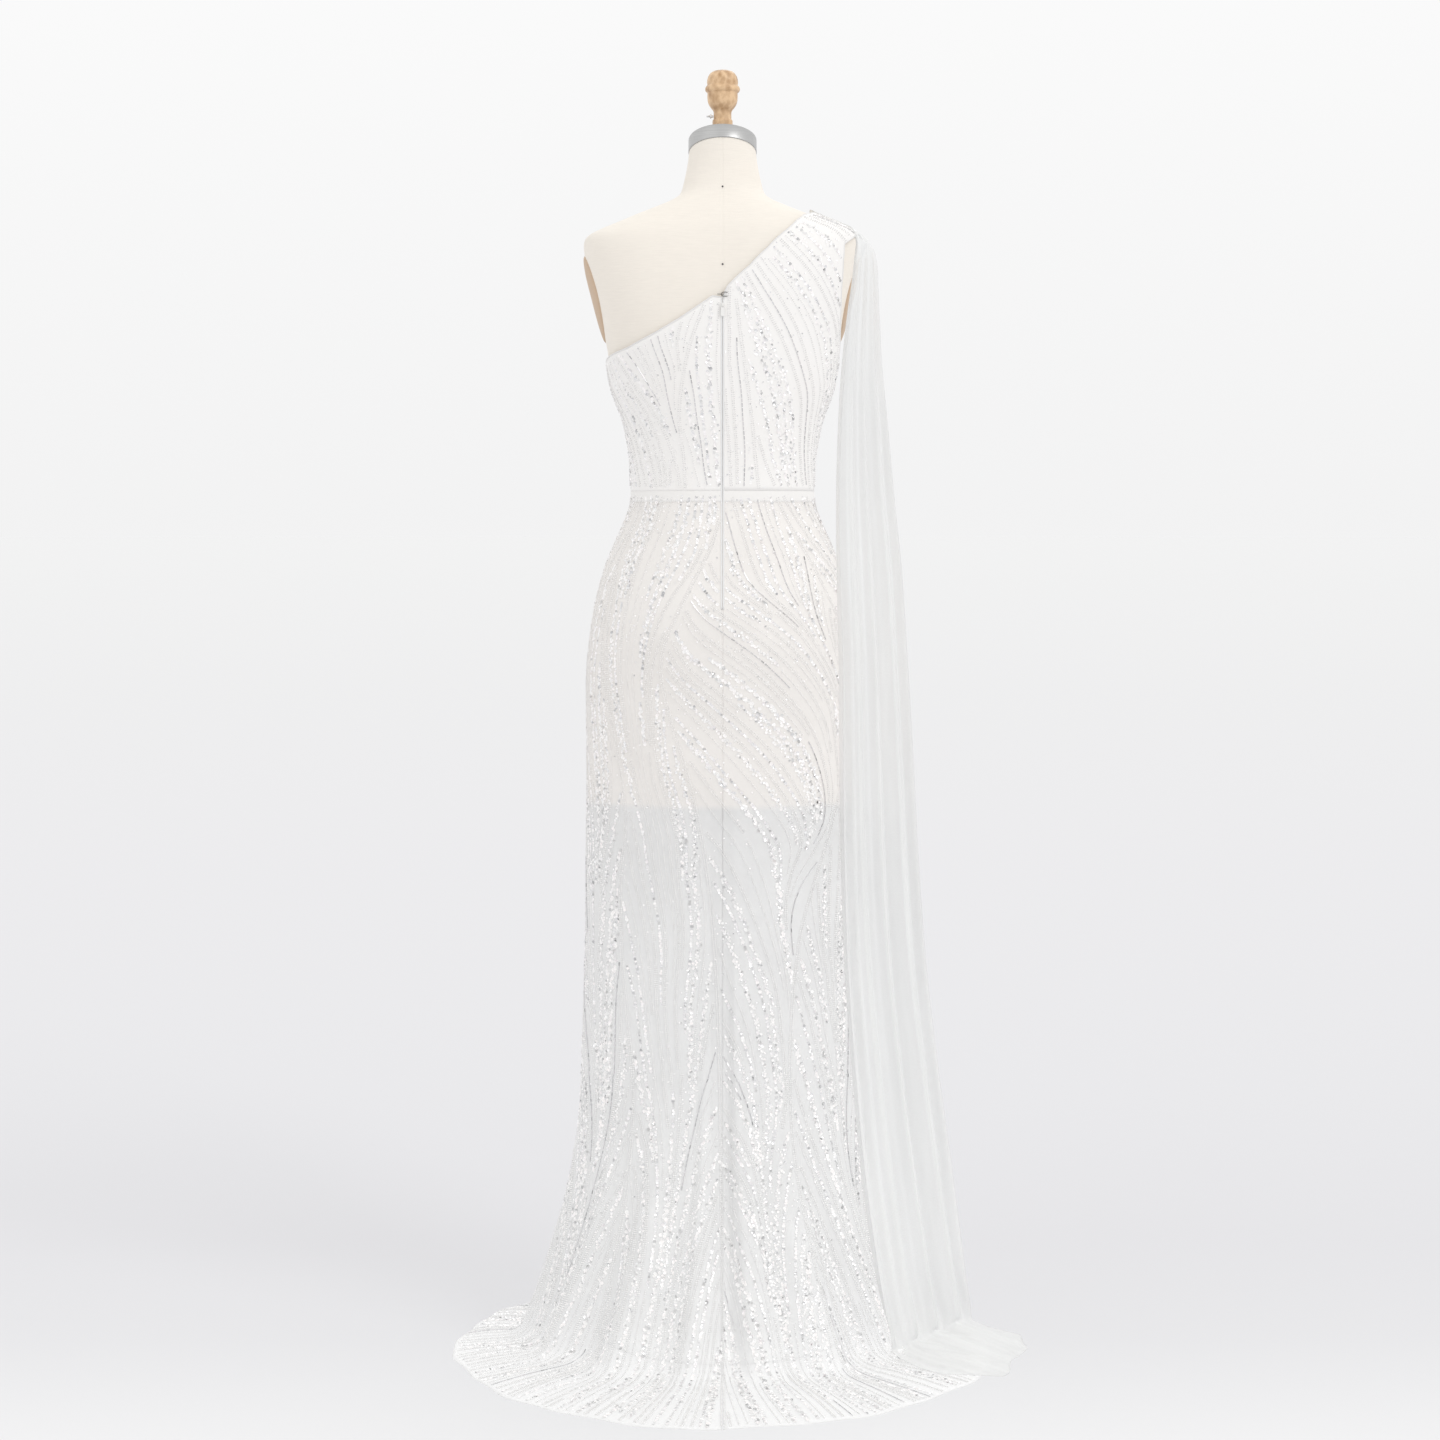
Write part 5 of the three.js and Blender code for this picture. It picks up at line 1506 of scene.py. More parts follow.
def build_streamer():
    look = settings().cloth
    material = shared("sheer chiffon", chiffon, tuple(look.chiffon_colour), look.chiffon_cover)
    under = streamer_grid(106, 176)
    normals = grid_normals(under)
    if normals[88, 50, 0] > 0:
        normals = -normals
    over = under + normals * STREAMER_WALL
    piece = shell("streamer_cloth", over, under, [material], metric_uv(over))
    lets_light_through(piece)
    riding(piece, GOWN, "shoulder_streamer", slot="chiffon")


# The zip and the closure


def zip_frame():
    angle, level = place_on_figure(0.01, 1388, True)
    seat = cloth_point(0.0, level, CLOTH_OUT)
    out = outward(np.array(0.0), np.array(level))
    lean = math.atan2(out[2], out[1])
    return Matrix.Translation(Vector(seat * MM)) @ Matrix.Rotation(lean, 4, "X")


def centre_back(heights, out):
    """Points down the centre back at some heights."""
    heights = np.asarray(heights, float)
    levels = np.array([place_on_figure(0.01, z, True)[1] if z > 1300 else level_of_side(z) for z in heights])
    return np.where(
        (heights > 1147)[:, None], cloth_point(0 * levels, levels, out), gown_point(0 * levels, levels, out)
    )


def build_zip():
    tape = shared("zip tape", thread, (0.88, 0.88, 0.875))
    enamelled = shared("zip enamel", enamel, (0.86, 0.85, 0.83))
    heights = np.linspace(1398, 992, 90)
    for name, side in (("zip_lip_left", 1), ("zip_lip_right", -1)):
        path = centre_back(heights, CLOTH_OUT - 0.1)
        path[:, 0] += side * 1.25
        riding(tube(name, path, 1.05, tape), GOWN, slot="beaded_tulle")
    frame_matrix = zip_frame()
    parts = [
        block("zip_body", (5, 1.8, 8), (0, 1.2, 0), enamelled, 0.7),
        block("zip_leg_top", (1.4, 2.6, 0.8), (0, 3.2, 2.9), enamelled, 0.25),
        block("zip_leg_low", (1.4, 2.6, 0.8), (0, 3.2, -0.9), enamelled, 0.25),
        block("zip_bridge", (1.4, 0.8, 4.6), (0, 4.2, 1.0), enamelled, 0.3),
    ]
    slider = moved(joined("zip_slider_body", parts), frame_matrix)
    riding(slider, GOWN, "zip_slider", slot="zip_metal")
    pull = moved(pull_tab(enamelled), frame_matrix)
    riding(pull, PULL, "zip_pull", slot="zip_metal")


def pull_tab(material):
    """The drop-shaped pull: a plate with a slot, extruded from its outline, and the pin that it swings on."""
    outline = [(-2, 1.3), (2, 1.3), (2, -2), (2.6, -10)]
    outline += [(2.6 * math.cos(t), -11 - 2.6 * math.sin(t)) for t in np.linspace(0.15, math.pi - 0.15, 9)]
    outline += [(-2.6, -10), (-2, -2)]
    window = [(-1.1, 0.4), (1.1, 0.4), (1.1, -2.0), (-1.1, -2.0)]
    curve = bpy.data.curves.new("pull_outline", "CURVE")
    curve.dimensions, curve.fill_mode = "2D", "BOTH"
    curve.extrude, curve.bevel_depth, curve.bevel_resolution = 0.25 * MM, 0.15 * MM, 2
    for ring in (outline, window):
        spline = curve.splines.new("POLY")
        spline.points.add(len(ring) - 1)
        for point, (x, z) in zip(spline.points, ring):
            point.co = (x * MM, z * MM, 0, 1)
        spline.use_cyclic_u = True
    deselect()
    piece = bpy.data.objects.new("zip_pull_tab", curve)
    bpy.context.scene.collection.objects.link(piece)
    bpy.context.view_layer.objects.active = piece
    piece.select_set(True)
    bpy.ops.object.convert(target="MESH")
    piece = bpy.context.object
    piece.data.transform(Matrix.Translation((0, 2.95 * MM, 0)) @ Matrix.Rotation(math.pi / 2, 4, "X"))
    piece.data.materials.clear()
    piece.data.materials.append(material)
    deselect()
    bpy.ops.mesh.primitive_cylinder_add(
        vertices=20, radius=0.45 * MM, depth=4 * MM, rotation=(0, math.pi / 2, 0)
    )
    pin = bpy.context.object
    bpy.ops.object.transform_apply(location=True, rotation=True, scale=True)
    pin.data.transform(Matrix.Translation((0, 2.95 * MM, 1.0 * MM)))
    pin.data.materials.append(material)
    return joined("zip_pull_tab", [piece, pin])


def build_closure():
    wire = shared("dull nickel", brushed_steel, (0.2, 0.195, 0.19), 0.4)
    angle, level = place_on_figure(0.01, 1403, True)
    seat = cloth_point(0.0, level, CLOTH_OUT + 1)
    eye = [
        (-6.5, 0.2, 2.4), (-4.5, 0.2, 2.6), (-2, 0.2, 2.7), (0.3, 0.2, 2.2), (1.5, 0.2, 1.1), (1.9, 0.2, 0)
    ]
    eye += [(x, y, -z) for x, y, z in reversed(eye[:-1])]
    hook = [
        (7, 1.8, 0),
        (5, 1.9, 0),
        (3, 1.95, 0),
        (0.6, 1.9, 0),
        (-0.7, 1.5, 0),
        (-1.25, 0.8, 0),
        (-1.2, -0.1, 0),
        (-0.3, -0.5, 0),
    ]
    for name, path, radius, node in (
        ("eye_wire", eye, 0.45, "closure_eye"), ("hook_wire", hook, 0.5, "closure_hook")
    ):
        fine = through(np.array(path, float), np.linspace(0, 1, 48)) + seat
        riding(tube(name, fine, radius, wire, sides=12), GOWN, node, slot="hook_steel")


# Beads and sequins


class GownMap:
    """The gown's surface on an even grid of angles and levels, for laying out and placing the beads."""

    def __init__(self):
        self.columns, self.step = 1080, 0.05
        self.low, self.high = HEM_LEVEL, float(TOP_LEVEL - 6)
        self.levels = np.arange(self.low, self.high, self.step)
        angles = np.arange(self.columns) * 2 * np.pi / self.columns
        self.points = gown_point(angles[None, :], self.levels[:, None])
        around = np.roll(self.points, -1, axis=1) - np.roll(self.points, 1, axis=1)
        down = np.gradient(self.points, axis=0)
        self.normals = unit(np.cross(down, around))
        flip = (self.normals[..., :2] * self.points[..., :2]).sum(axis=-1)[200, 0] < 0
        if flip:
            self.normals = -self.normals
        self.normals[self.points[..., 2] < 9] *= np.array([0.4, 0.4, 1])
        self.normals = unit(self.normals)
        self.per_radian = np.linalg.norm(around, axis=-1) / (4 * np.pi / self.columns)
        self.per_level = np.linalg.norm(down, axis=-1) / self.step
        steps = np.linalg.norm(np.diff(self.points, axis=0), axis=-1).mean(axis=1)
        self.run = np.concatenate([[0], np.cumsum(steps)])
        self.inside = self.covered()

    def height(self, level):
        """How far up along the cloth a level is, in millimetres."""
        return np.interp(level, self.levels, self.run)

    def covered(self):
        """Where the gown has cloth: all of the skirt, and the bodice between its edges."""
        waist = level_of_side(1147)
        mask = np.zeros(self.points.shape[:2], bool)
        mask[self.levels < waist - 0.06] = True
        degrees = np.arange(self.columns) * 360 / self.columns
        for edges in bodice_edges().values():
            ring = [*edges["low"], *edges["last"][1:], *edges["high"][::-1][1:], *edges["first"][::-1][1:]]
            ring = np.array(ring)
            x, y = np.degrees(ring[:, 0]), ring[:, 1]
            for turn in (-360, 0, 360):
                cells = np.zeros_like(mask)
                for x0, y0, x1, y1 in zip(x, y, np.roll(x, -1), np.roll(y, -1)):
                    if y0 == y1:
                        continue
                    crosses = (self.levels >= min(y0, y1)) & (self.levels < max(y0, y1))
                    at = x0 + (self.levels - y0) / (y1 - y0) * (x1 - x0)
                    cells ^= crosses[:, None] & (degrees[None, :] + turn < at[:, None])
                mask |= cells & (self.levels[:, None] > waist + 0.02)
        shrunk = mask.copy()
        for shift in (-3, 3):
            shrunk &= np.roll(mask, shift, axis=1)
        for shift in (-2, 2):
            shrunk &= np.roll(mask, shift, axis=0) | (self.levels[:, None] < self.low + 0.3)
        shrunk[self.levels < self.low + 0.1] = False
        degrees = np.minimum(degrees, 360 - degrees)
        zip_zone = (degrees[None, :] * self.per_radian * math.pi / 180 < 3.2) & (self.points[..., 2] > 992)
        return shrunk & ~zip_zone

    def cell(self, angle, level):
        column = np.round(angle / (2 * np.pi) * self.columns).astype(int) % self.columns
        row = np.clip(np.round((level - self.low) / self.step).astype(int), 0, len(self.levels) - 1)
        return row, column

    def sample(self, field, angle, level):
        """A field between the grid's points."""
        a = angle / (2 * np.pi) * self.columns
        b = np.clip((level - self.low) / self.step, 0, len(self.levels) - 1.001)
        i, j = np.floor(a).astype(int), np.floor(b).astype(int)
        s, t = (a - i)[:, None], (b - j)[:, None]
        i0, i1 = i % self.columns, (i + 1) % self.columns
        low = mix(field[j, i0], field[j, i1], s)
        high = mix(field[j + 1, i0], field[j + 1, i1], s)
        return mix(low, high, t)


def stem_places():
    """The stems as [angle, level] lines on smooth curves."""
    lines = []
    for points, _, _ in STEMS:
        table = np.array(points, float)
        fine = through(table, np.linspace(0, 1, 14 * len(table)))
        levels = [
            level_of_height(z) if z <= 1147 else place_at_angle(math.radians(a), z) for a, z in fine
        ]
        places = np.stack([np.radians(fine[:, 0]), levels], axis=-1)
        if fine[-1, 1] < 20:
            angle = places[-1, 0]
            ends = [[angle, level] for level in np.linspace(places[-1, 1] - 0.2, HEM_LEVEL + 0.15, 16)]
            places = np.concatenate([places, ends])
        lines.append(places)
    return lines


def place_at_angle(angle, z):
    levels = np.linspace(WAIST_LEVEL, TOP_LEVEL - 4, 300)
    heights = figure_point(angle + 0 * levels, levels)[:, 2]
    return float(np.interp(z, heights, levels))


def flow_field(gown_map, lines):
    """The direction of the beaded lines at every cell, like barbs on both sides of each stem."""
    rows = np.arange(0, len(gown_map.levels), 2)
    columns = np.arange(0, gown_map.columns, 2)
    angle = (columns * 2 * np.pi / gown_map.columns)[None, :]
    level = gown_map.levels[rows][:, None]
    per_radian = gown_map.per_radian[np.ix_(rows, columns)]
    height = gown_map.height(level)
    total = np.zeros((len(rows), len(columns), 2))
    waist = level_of_side(1147)
    for places, (_, open_left, open_right) in zip(lines, STEMS):
        best = np.full(per_radian.shape, np.inf)
        lean = np.zeros(per_radian.shape)
        on_left = np.zeros(per_radian.shape)
        heights = gown_map.height(places[:, 1])
        for a0, h0, a1, h1 in zip(places[:-1:2, 0], heights[:-1:2], places[1::2, 0], heights[1::2]):
            dx = ((angle - a0 + np.pi) % (2 * np.pi) - np.pi) * per_radian
            dz = h0 - height
            sx, sz = (a1 - a0) * per_radian, h0 - h1
            share = np.clip((dx * sx + dz * sz) / (sx * sx + sz * sz), 0, 1)
            away = np.hypot(dx - share * sx, dz - share * sz)
            nearer = away < best
            best = np.where(nearer, away, best)
            lean = np.where(nearer, np.arctan2(sx, sz), lean)
            on_left = np.where(nearer, np.sign(dx * sz - dz * sx), on_left)
        spread = np.where(on_left > 0, open_left, -open_right) * np.exp(-best / 120)
        bent = lean + np.radians(spread)
        weight = np.exp(-best / 45) + 1e-6
        same_side = (places[0, 1] > waist) == (level > waist)
        weight = weight * np.where(same_side, 1, 0.02)
        total += np.stack([np.sin(bent), np.cos(bent)], axis=-1) * weight[..., None]
    for degrees, z, lean, reach in LEANS:
        turn = math.radians(degrees)
        at = gown_map.height(place_at_angle(turn, z) if z > 1147 else level_of_height(z))
        dx = ((angle - turn + np.pi) % (2 * np.pi) - np.pi) * per_radian
        same_side = (z > 1147) == (level > waist)
        weight = 3.2 * np.exp(-(dx**2 + (at - height) ** 2) / reach**2) * np.where(same_side, 1, 0)
        way = np.array([math.sin(math.radians(lean)), math.cos(math.radians(lean))])
        total += way * weight[..., None]
    lean = np.arctan2(total[..., 0], total[..., 1])
    flare = smooth((-level - 2) / 5)
    lean = lean * (1 - 0.75 * flare)
    lean = np.where(level < FLOOR_LEVEL, lean * 0.3, lean)
    return np.repeat(np.repeat(lean, 2, axis=0), 2, axis=1)[: len(gown_map.levels), : gown_map.columns]


class Layout:
    """Evenly spaced lines that follow the flow, each stopped where it would run into another."""

    def __init__(self, gown_map, flow, gap):
        self.map, self.flow, self.gap = gown_map, flow, gap
        self.taken = np.zeros(flow.shape, bool)
        self.crowded = np.zeros(flow.shape, bool)
        self.lines = []

    def mark(self, angle, level):
        rows, columns = self.map.cell(angle, level)
        for row, column in zip(rows, columns):
            wide = self.map.per_radian[row, column] * 2 * math.pi / self.map.columns
            high = self.map.per_level[row, column] * self.map.step
            for grid, reach in ((self.crowded, 0.86), (self.taken, 0.5)):
                size = self.gap * reach
                nx, ny = int(size / max(wide, 0.4)), int(size / max(high, 0.4))
                across = np.arange(column - nx, column + nx + 1) % self.map.columns
                up = slice(max(0, row - ny), row + ny + 1)
                grid[up, across] = True

    def run(self, angle, level, sign, longest):
        path = []
        step = 4.0
        for _ in range(int(longest / step)):
            row, column = self.map.cell(np.array(angle), np.array(level))
            if not self.map.inside[row, column] or self.taken[row, column]:
                break
            path.append((angle, level))
            lean = self.flow[row, column]
            angle += sign * step * math.sin(lean) / max(1.0, self.map.per_radian[row, column])
            level -= sign * step * math.cos(lean) / max(1.0, self.map.per_level[row, column])
            if level < self.map.low + 0.12 or level > self.map.high:
                break
        return path

    def draw(self, angle, level, longest=420.0, shortest=26.0, kind=None):
        row, column = self.map.cell(np.array(angle), np.array(level))
        if not self.map.inside[row, column] or self.crowded[row, column]:
            return
        back = self.run(angle, level, -1, longest / 2)
        path = back[:0:-1] + self.run(angle, level, 1, longest)
        if (len(path) - 1) * 4.0 < shortest:
            return
        self.keep(np.array(path), kind)

    def keep(self, path, kind):
        self.lines.append((path, kind))
        self.mark(path[:, 0], path[:, 1])

    def fill(self):
        """Every kept line offers starts for its neighbours on both sides."""
        done = 0
        while done < len(self.lines):
            path, _ = self.lines[done]
            done += 1
            for angle, level in path[::2]:
                row, column = self.map.cell(np.array(angle), np.array(level))
                lean = self.flow[row, column]
                for side in (-1, 1):
                    shift = side * self.gap
                    near = angle + shift * math.cos(lean) / max(1.0, self.map.per_radian[row, column])
                    up = level + shift * math.sin(lean) / max(1.0, self.map.per_level[row, column])
                    self.draw(near, up)


def resampled(gown_map, path, pitch):
    """Points along a line at an even pitch in millimetres, as angles and levels, with the line's length."""
    points = gown_map.sample(gown_map.points, path[:, 0], path[:, 1])
    length = np.concatenate([[0], np.cumsum(np.linalg.norm(np.diff(points, axis=0), axis=1))])
    wanted = np.arange(pitch / 2, length[-1], pitch)
    return np.interp(wanted, length, path[:, 0]), np.interp(wanted, length, path[:, 1]), wanted, length[-1]


def side_stepped(gown_map, angle, level, shift):
    """The same places moved sideways by some millimetres, square to the line."""
    da, dl = np.gradient(angle), np.gradient(level)
    rows, columns = gown_map.cell(angle, level)
    wide, high = gown_map.per_radian[rows, columns], gown_map.per_level[rows, columns]
    dx, dz = da * wide, dl * high
    size = np.maximum(np.hypot(dx, dz), 1e-6)
    return angle - shift * dz / size / wide, level + shift * dx / size / high


class Beading:
    """Collects sequins, seed beads and bugles by panel, then makes each panel's joined meshes."""

    PANELS = ("bodice", "skirt_left", "skirt_right", "skirt_front")

    def __init__(self, gown_map, look):
        self.map, self.look = gown_map, look
        self.random = np.random.default_rng(look.seed)
        self.sequins = {panel: [] for panel in self.PANELS}
        self.beads = {panel: [] for panel in self.PANELS}
        self.bugles = {panel: [] for panel in self.PANELS}

    def panel_of(self, angle, level):
        degrees = np.degrees(angle) % 360
        side = np.where((degrees >= 90) & (degrees < 270), 3, np.where(degrees < 90, 1, 2))
        return np.where(level > WAIST_LEVEL, 0, side)

    def store(self, kind, angle, level, rows):
        panels = self.panel_of(angle, level)
        for index, panel in enumerate(self.PANELS):
            picked = rows[panels == index]
            if len(picked):
                getattr(self, kind)[panel].append(picked)

    def lay_sequins(self, path, per_mm, width, silver, size=1.0):
        angle, level, at, length = resampled(self.map, path, 1 / per_mm)
        if len(angle) < 3:
            return
        taper = np.minimum(1, np.minimum(at, length - at) / 22)
        angle, level = side_stepped(self.map, angle, level, self.random.normal(0, width, len(at)) * taper)
        self.scatter(angle, level, silver, size)

    def scatter(self, angle, level, silver, size=1.0):
        rows, columns = self.map.cell(angle, level)
        keep = self.map.inside[rows, columns]
        angle, level = angle[keep], level[keep]
        count = len(angle)
        if not count:
            return
        points = self.map.sample(self.map.points, angle, level)
        normals = unit(
            self.map.sample(self.map.normals, angle, level) + self.random.normal(0, 0.25, (count, 3))
        )
        lift = self.random.uniform(0.4, 1.1, count)[:, None]
        radius = self.look.sequin_size / MM / 2 * size * self.random.uniform(0.72, 1.15, count)
        metal = (self.random.random(count) < silver).astype(float)
        tone = self.random.random(count)
        table = np.column_stack([points + unit(normals) * lift, normals, radius, metal, tone])
        self.store("sequins", angle, level, table)

    def lay_beads(self, path, shift=0.0, pitch=1.5):
        size = self.look.bead_size / MM
        angle, level, _, _ = resampled(self.map, path, size * pitch)
        if len(angle) < 3:
            return
        angle, level = side_stepped(self.map, angle, level, shift)
        rows, columns = self.map.cell(angle, level)
        keep = self.map.inside[rows, columns]
        angle, level = angle[keep], level[keep]
        if not len(angle):
            return
        points = self.map.sample(self.map.points, angle, level)
        normals = unit(self.map.sample(self.map.normals, angle, level))
        radius = size / 2 * self.random.uniform(0.88, 1.1, len(angle))
        tone = self.random.random(len(angle))
        table = np.column_stack([points + normals * (0.5 * size), normals, radius, tone])
        self.store("beads", angle, level, table)

    def lay_bugles(self, path):
        long = self.look.bugle_length / MM
        angle, level, _, _ = resampled(self.map, path, (long + 0.9) / 2)
        middles = slice(1, None, 2)
        if len(angle) < 4:
            return
        points = self.map.sample(self.map.points, angle, level)
        normals = unit(self.map.sample(self.map.normals, angle, level))
        heading = unit(np.gradient(points, axis=0))
        centre = points + normals * 1.0
        table = np.column_stack([
            (centre - heading * long / 2)[middles],
            (centre + heading * long / 2)[middles],
            self.random.random(len(angle[middles])),
        ])
        self.store("bugles", angle[middles], level[middles], table)

    def make(self):
        pearl = shared("pearl sequins", sequin_film, (0.93, 0.925, 0.915), 0.28, 0.0)
        silver = shared("silver sequins", sequin_film, (0.9, 0.9, 0.905), 0.22, 1.0)
        bead = shared("ivory seed beads", glass_bead, (0.94, 0.93, 0.915), 0.25)
        bugle = shared("silver lined bugles", sequin_film, (0.7, 0.7, 0.71), 0.3, 1.0)
        for panel in self.PANELS:
            if self.sequins[panel]:
                self.make_sequins(panel, np.concatenate(self.sequins[panel]), [pearl, silver])
            if self.beads[panel]:
                self.make_beads(panel, np.concatenate(self.beads[panel]), bead)
            if self.bugles[panel]:
                self.make_bugles(panel, np.concatenate(self.bugles[panel]), bugle)

    def toned(self, piece, tone, per_shape):
        layer = piece.data.attributes.new("tone", "FLOAT", "POINT")
        layer.data.foreach_set("value", np.repeat(tone, per_shape).astype(np.float32))
        piece.visible_diffuse = False
        riding(piece, GOWN)

    def make_sequins(self, panel, table, materials):
        """Cupped six-sided sequins: a low centre and six rim points each."""
        centre, normal, radius, metal, tone = table[:, :3], table[:, 3:6], table[:, 6], table[:, 7], table[
            :, 8
        ]
        guide = np.where(abs(normal[:, 2:]) > 0.9, [[1.0, 0, 0]], [[0, 0, 1.0]])
        first = unit(np.cross(normal, guide))
        second = np.cross(normal, first)
        turn = np.arange(6) * np.pi / 3
        rim = np.cos(turn)[None, :, None] * first[:, None] + np.sin(turn)[None, :, None] * second[:, None]
        rim = centre[:, None] + rim * radius[:, None, None]
        hub = centre[:, None] - normal[:, None] * (radius * 0.22)[:, None, None]
        shapes = np.concatenate([hub, rim], axis=1)
        template = np.array([[0, k + 1, (k + 1) % 6 + 1] for k in range(6)])
        points, faces = stacked([(shapes, template)])
        slots = np.repeat(metal, 6).astype(int)
        piece = mesh_object(panel + "_sequins", points * MM, faces, materials, slots=slots, is_smooth=False)
        self.toned(piece, tone, 7)

    def make_beads(self, panel, table, material):
        centre, normal, radius, tone = table[:, :3], table[:, 3:6], table[:, 6], table[:, 7]
        corners = np.array([[1, 0, 0], [-1, 0, 0], [0, 1, 0], [0, -1, 0], [0, 0, 1], [0, 0, -1]], float)
        shapes = centre[:, None] + corners[None] * radius[:, None, None] * 1.12
        template = [[0, 2, 4], [2, 1, 4], [1, 3, 4], [3, 0, 4], [2, 0, 5], [1, 2, 5], [3, 1, 5], [0, 3, 5]]
        points, faces = stacked([(shapes, np.array(template))])
        piece = mesh_object(panel + "_seed_beads", points * MM, faces, [material], is_smooth=True)
        self.toned(piece, tone, 6)

    def make_bugles(self, panel, table, material):
        shapes = dashes(table[:, :3], table[:, 3:6], 0.75)
        points, faces = stacked([shapes])
        piece = mesh_object(panel + "_bugles", points * MM, faces, [material], is_smooth=False)
        self.toned(piece, table[:, 6], 8)


def build_beading():
    look = settings().beads
    gown_map = GownMap()
    lines = stem_places()
    flow = flow_field(gown_map, lines)
    layout = Layout(gown_map, flow, look.line_gap / MM)
    for places in lines:
        rows, columns = gown_map.cell(places[:, 0], places[:, 1])
        kept = places[gown_map.inside[rows, columns]]
        if len(kept) > 4:
            layout.keep(kept, "stem")
    for places in lines:
        for angle, level in places[::3]:
            for side in (-1, 1):
                row, column = gown_map.cell(np.array(angle), np.array(level))
                shift = side * look.line_gap / MM * 0.95
                layout.draw(angle + shift / max(1.0, gown_map.per_radian[row, column]), level)
    layout.fill()
    for row in range(12, len(gown_map.levels), 9):
        for column in range(0, gown_map.columns, 8):
            layout.draw(column * 2 * np.pi / gown_map.columns, float(gown_map.levels[row]))
    work = Beading(gown_map, look)
    chance = np.random.default_rng(look.seed + 1)
    for index, (path, kind) in enumerate(layout.lines):
        if kind == "stem":
            work.lay_beads(path, 1.5)
            work.lay_beads(path, -1.5)
            continue
        pick = chance.random()
        if index % 3 == 0:
            work.lay_sequins(path, 0.59, 1.9, 0.3, 1.0 if pick < 0.6 else 1.25)
        elif pick < 0.4:
            work.lay_beads(path, 1.25)
            work.lay_beads(path, -1.25)
        elif pick < 0.54:
            work.lay_bugles(path)
        elif pick < 0.76:
            work.lay_sequins(path, 0.3, 0.35, 0.6, 1.15)
        else:
            work.lay_beads(path)
    count = 5200
    rows, columns = np.nonzero(gown_map.inside)
    picked = chance.integers(0, len(rows), count)
    angle = (columns[picked] + chance.random(count)) * 2 * np.pi / gown_map.columns
    work.scatter(angle, gown_map.levels[rows[picked]] + 0.0, 0.2, 0.62)
    work.make()


# The stage


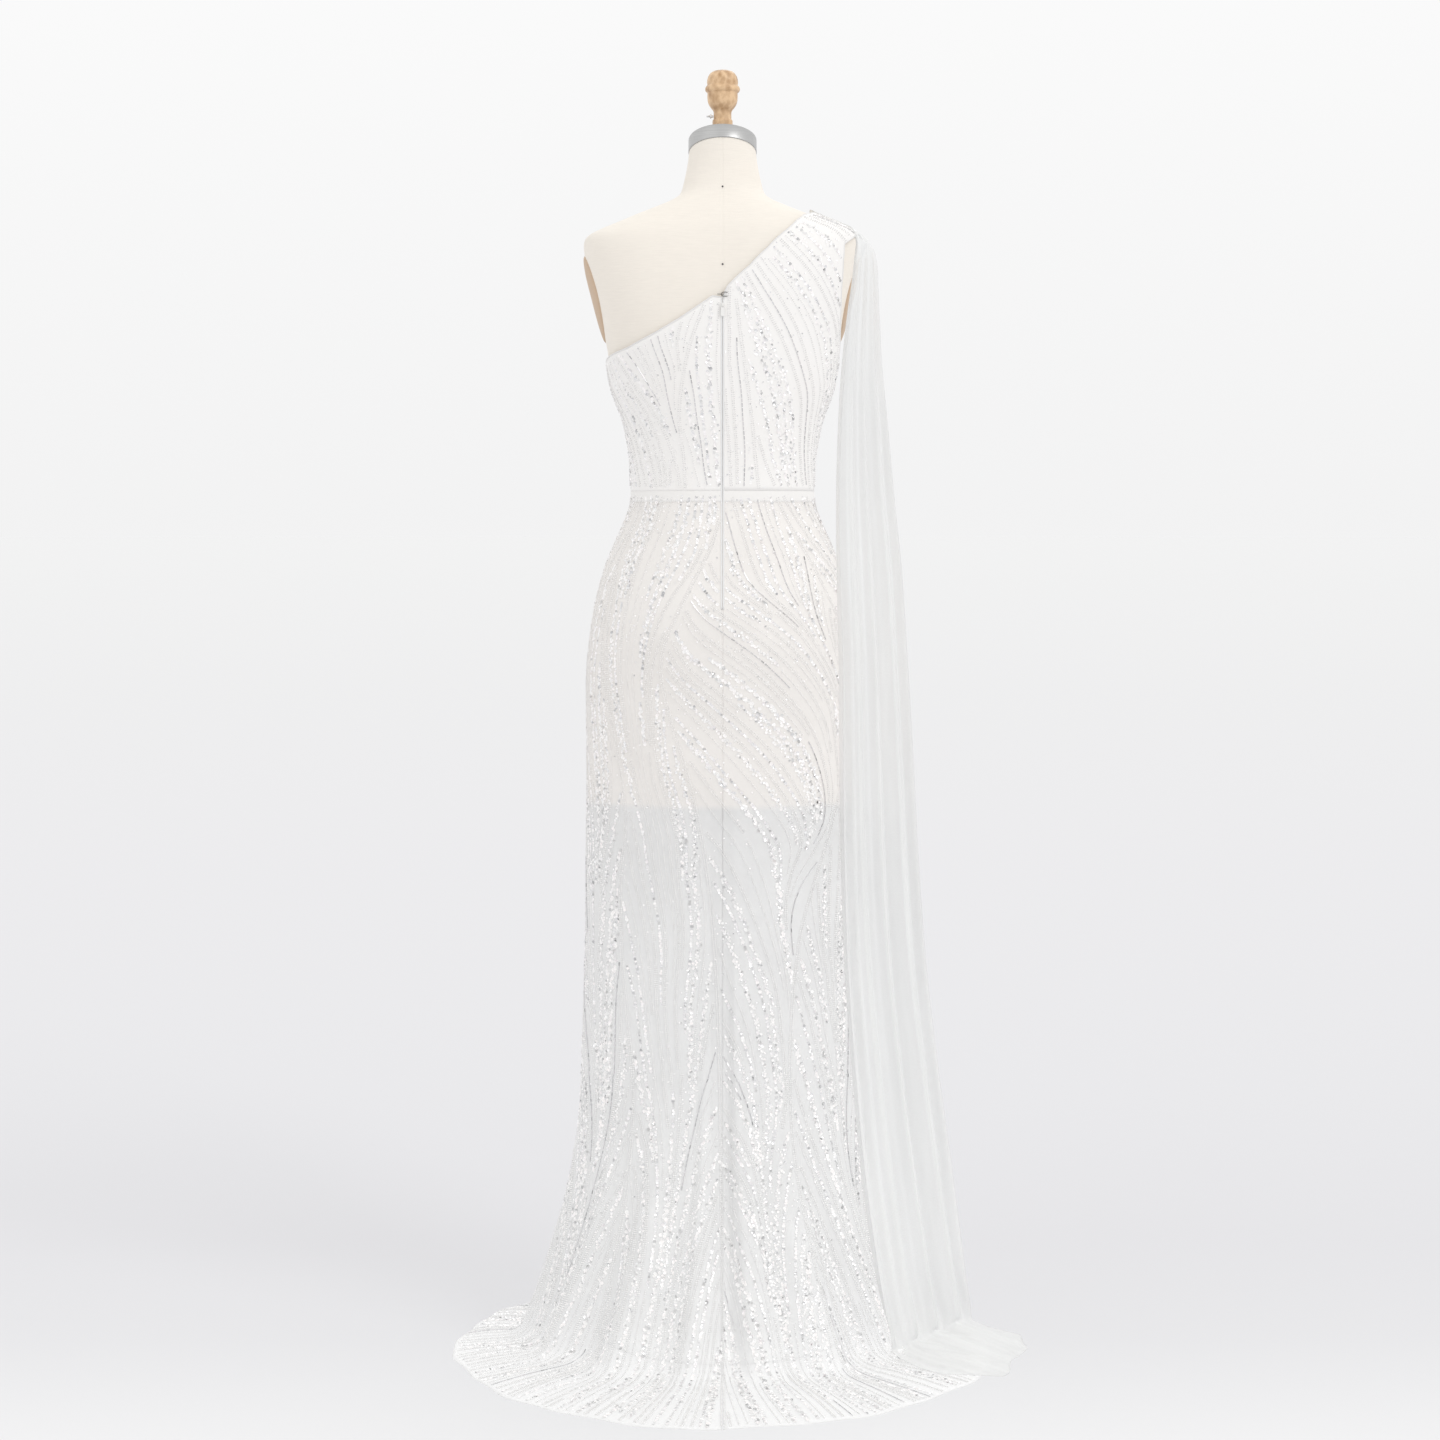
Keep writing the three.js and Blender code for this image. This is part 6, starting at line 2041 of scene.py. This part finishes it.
def build_stage():
    floor_finish = Finish("studio floor", (0.75, 0.75, 0.76), 0.9)
    floor_finish.set("Specular IOR Level", 0.0)
    away = floor_finish.add("ShaderNodeSeparateXYZ")
    floor_finish.link(floor_finish.place(), away.inputs["Vector"])
    past = floor_finish.math("ABSOLUTE", floor_finish.math("SUBTRACT", away.outputs["Y"], 0.6), 0.0)
    near = floor_finish.math("DIVIDE", 1.0, floor_finish.math("ADD", past, 3.4))
    # Painted shade: the floor's colour is lightest just in front of the gown, darkest in a band about half a
    # metre behind it and paler again far off, standing in for the shade of a studio cove; the ramp is
    # mirrored about a line in front of the gown.
    painted_cove_shade = [
        (0.0, (0.797, 0.797, 0.797)),
        (0.02, (0.782, 0.782, 0.783)),
        (0.055, (0.762, 0.761, 0.766)),
        (0.104, (0.748, 0.744, 0.757)),
        (0.175, (0.732, 0.73, 0.745)),
        (0.222, (0.712, 0.709, 0.726)),
        (0.252, (0.73, 0.729, 0.742)),
        (0.278, (0.785, 0.785, 0.792)),
        (0.3, (0.825, 0.825, 0.83)),
    ]
    floor_finish.colour(floor_finish.ramp(near, painted_cove_shade))
    deselect()
    bpy.ops.mesh.primitive_circle_add(vertices=96, radius=150, fill_type="NGON", location=(0, 0, -0.0006))
    floor = bpy.context.object
    floor.name = "studio_floor"
    floor.data.materials.append(floor_finish.material)
    world = bpy.data.worlds.new("studio")
    bpy.context.scene.world = world
    world.use_nodes = True
    nodes, links = world.node_tree.nodes, world.node_tree.links
    rise = nodes.new("ShaderNodeSeparateXYZ")
    links.new(nodes.new("ShaderNodeTexCoord").outputs["Generated"], rise.inputs["Vector"])
    shade = nodes.new("ShaderNodeValToRGB")
    stops = [(0.0, (0.893, 0.892, 0.894)), (0.18, (0.963, 0.963, 0.963)), (1.0, (0.95, 0.95, 0.95))]
    shade.color_ramp.elements.new(0.9)
    for element, (position, tone) in zip(shade.color_ramp.elements, stops):
        element.position, element.color = position, (*tone, 1)
    links.new(rise.outputs["Z"], shade.inputs["Fac"])
    links.new(shade.outputs["Color"], nodes["Background"].inputs["Color"])
    suns = [
        ("key_sun", (-2.3, 2.2, 2.2), 30, 0.56),
        ("fill_sun", (2.4, 1.6, 2.2), 50, 0.08),
        ("front_sun", (-0.8, -2.6, 2.6), 40, 0.26),
    ]
    for name, place, spread, power in suns:
        light = bpy.data.lights.new(name, "SUN")
        light.angle, light.energy = math.radians(spread), power
        lamp = bpy.data.objects.new(name, light)
        lamp.location = place
        lamp.rotation_euler = (-Vector(place)).to_track_quat("-Z", "Y").to_euler()
        bpy.context.scene.collection.objects.link(lamp)
    camera = bpy.data.cameras.new("photo_camera")
    camera.sensor_width, camera.lens = 36.0, 2963 / 1440 * 36.0
    camera.clip_start, camera.clip_end = 0.05, 400
    stand = bpy.data.objects.new("photo_camera", camera)
    stand.location = (0.0034, 4.0, 1.116)
    stand.rotation_euler = (math.radians(90 - 3.958), 0, math.radians(180))
    bpy.context.scene.collection.objects.link(stand)
    bpy.context.scene.camera = stand
    bpy.context.scene.view_settings.view_transform = "Standard"


# Operators, panel and registration


def operator(name, label, doc, *steps):
    """An operator class that runs some building steps."""

    def execute(self, context):
        for step in steps:
            step()
        return {"FINISHED"}

    values = {"bl_idname": f"gown.{name}", "bl_label": label, "__doc__": doc, "execute": execute}
    return type(f"GOWN_OT_{name}", (bpy.types.Operator,), values)


OPERATORS = [
    operator("form", "Dress form", "Build the form's body, plates, pins, neck cap and knob", build_form_body,
             build_arm_plates, build_pins, build_neck_cap, build_finial, build_thumbscrew),
    operator("stand", "Stand", "Build the stand's foot and pole", build_stand),
    operator("bodice", "Bodice", "Build the bodice panels and their bound edges", build_bodice),
    operator("skirt", "Skirt", "Build the sheer skirt, its lining and the waist seam",
             build_skirt, build_lining, build_waist_seam),
    operator("streamer", "Streamer", "Build the chiffon streamer", build_streamer),
    operator(
        "fastenings", "Fastenings", "Build the zip, its pull, the hook and the eye", build_zip, build_closure
    ),
    operator("beading", "Beading", "Sew the sequins, seed beads and bugles on", build_beading),
    operator("stage", "Studio", "Build the floor, the lights and the camera", build_stage),
]


class GOWN_PT_panel(bpy.types.Panel):
    """The gown's building steps"""

    bl_idname = "GOWN_PT_panel"
    bl_label = "Beaded gown"
    bl_space_type = "VIEW_3D"
    bl_region_type = "UI"
    bl_category = "Gown"

    def draw(self, context):
        for step in OPERATORS:
            self.layout.operator(step.bl_idname)


CLASSES = [FormSettings, ClothSettings, BeadSettings, GownSettings, *OPERATORS, GOWN_PT_panel]


def register():
    for kind in CLASSES:
        bpy.utils.register_class(kind)
    bpy.types.Scene.gown_settings = bpy.props.PointerProperty(type=GownSettings)


def unregister():
    del bpy.types.Scene.gown_settings
    for kind in reversed(CLASSES):
        bpy.utils.unregister_class(kind)


def main():
    register()
    for step in OPERATORS:
        group, name = step.bl_idname.split(".")
        getattr(getattr(bpy.ops, group), name)()


if __name__ == "__main__":
    main()
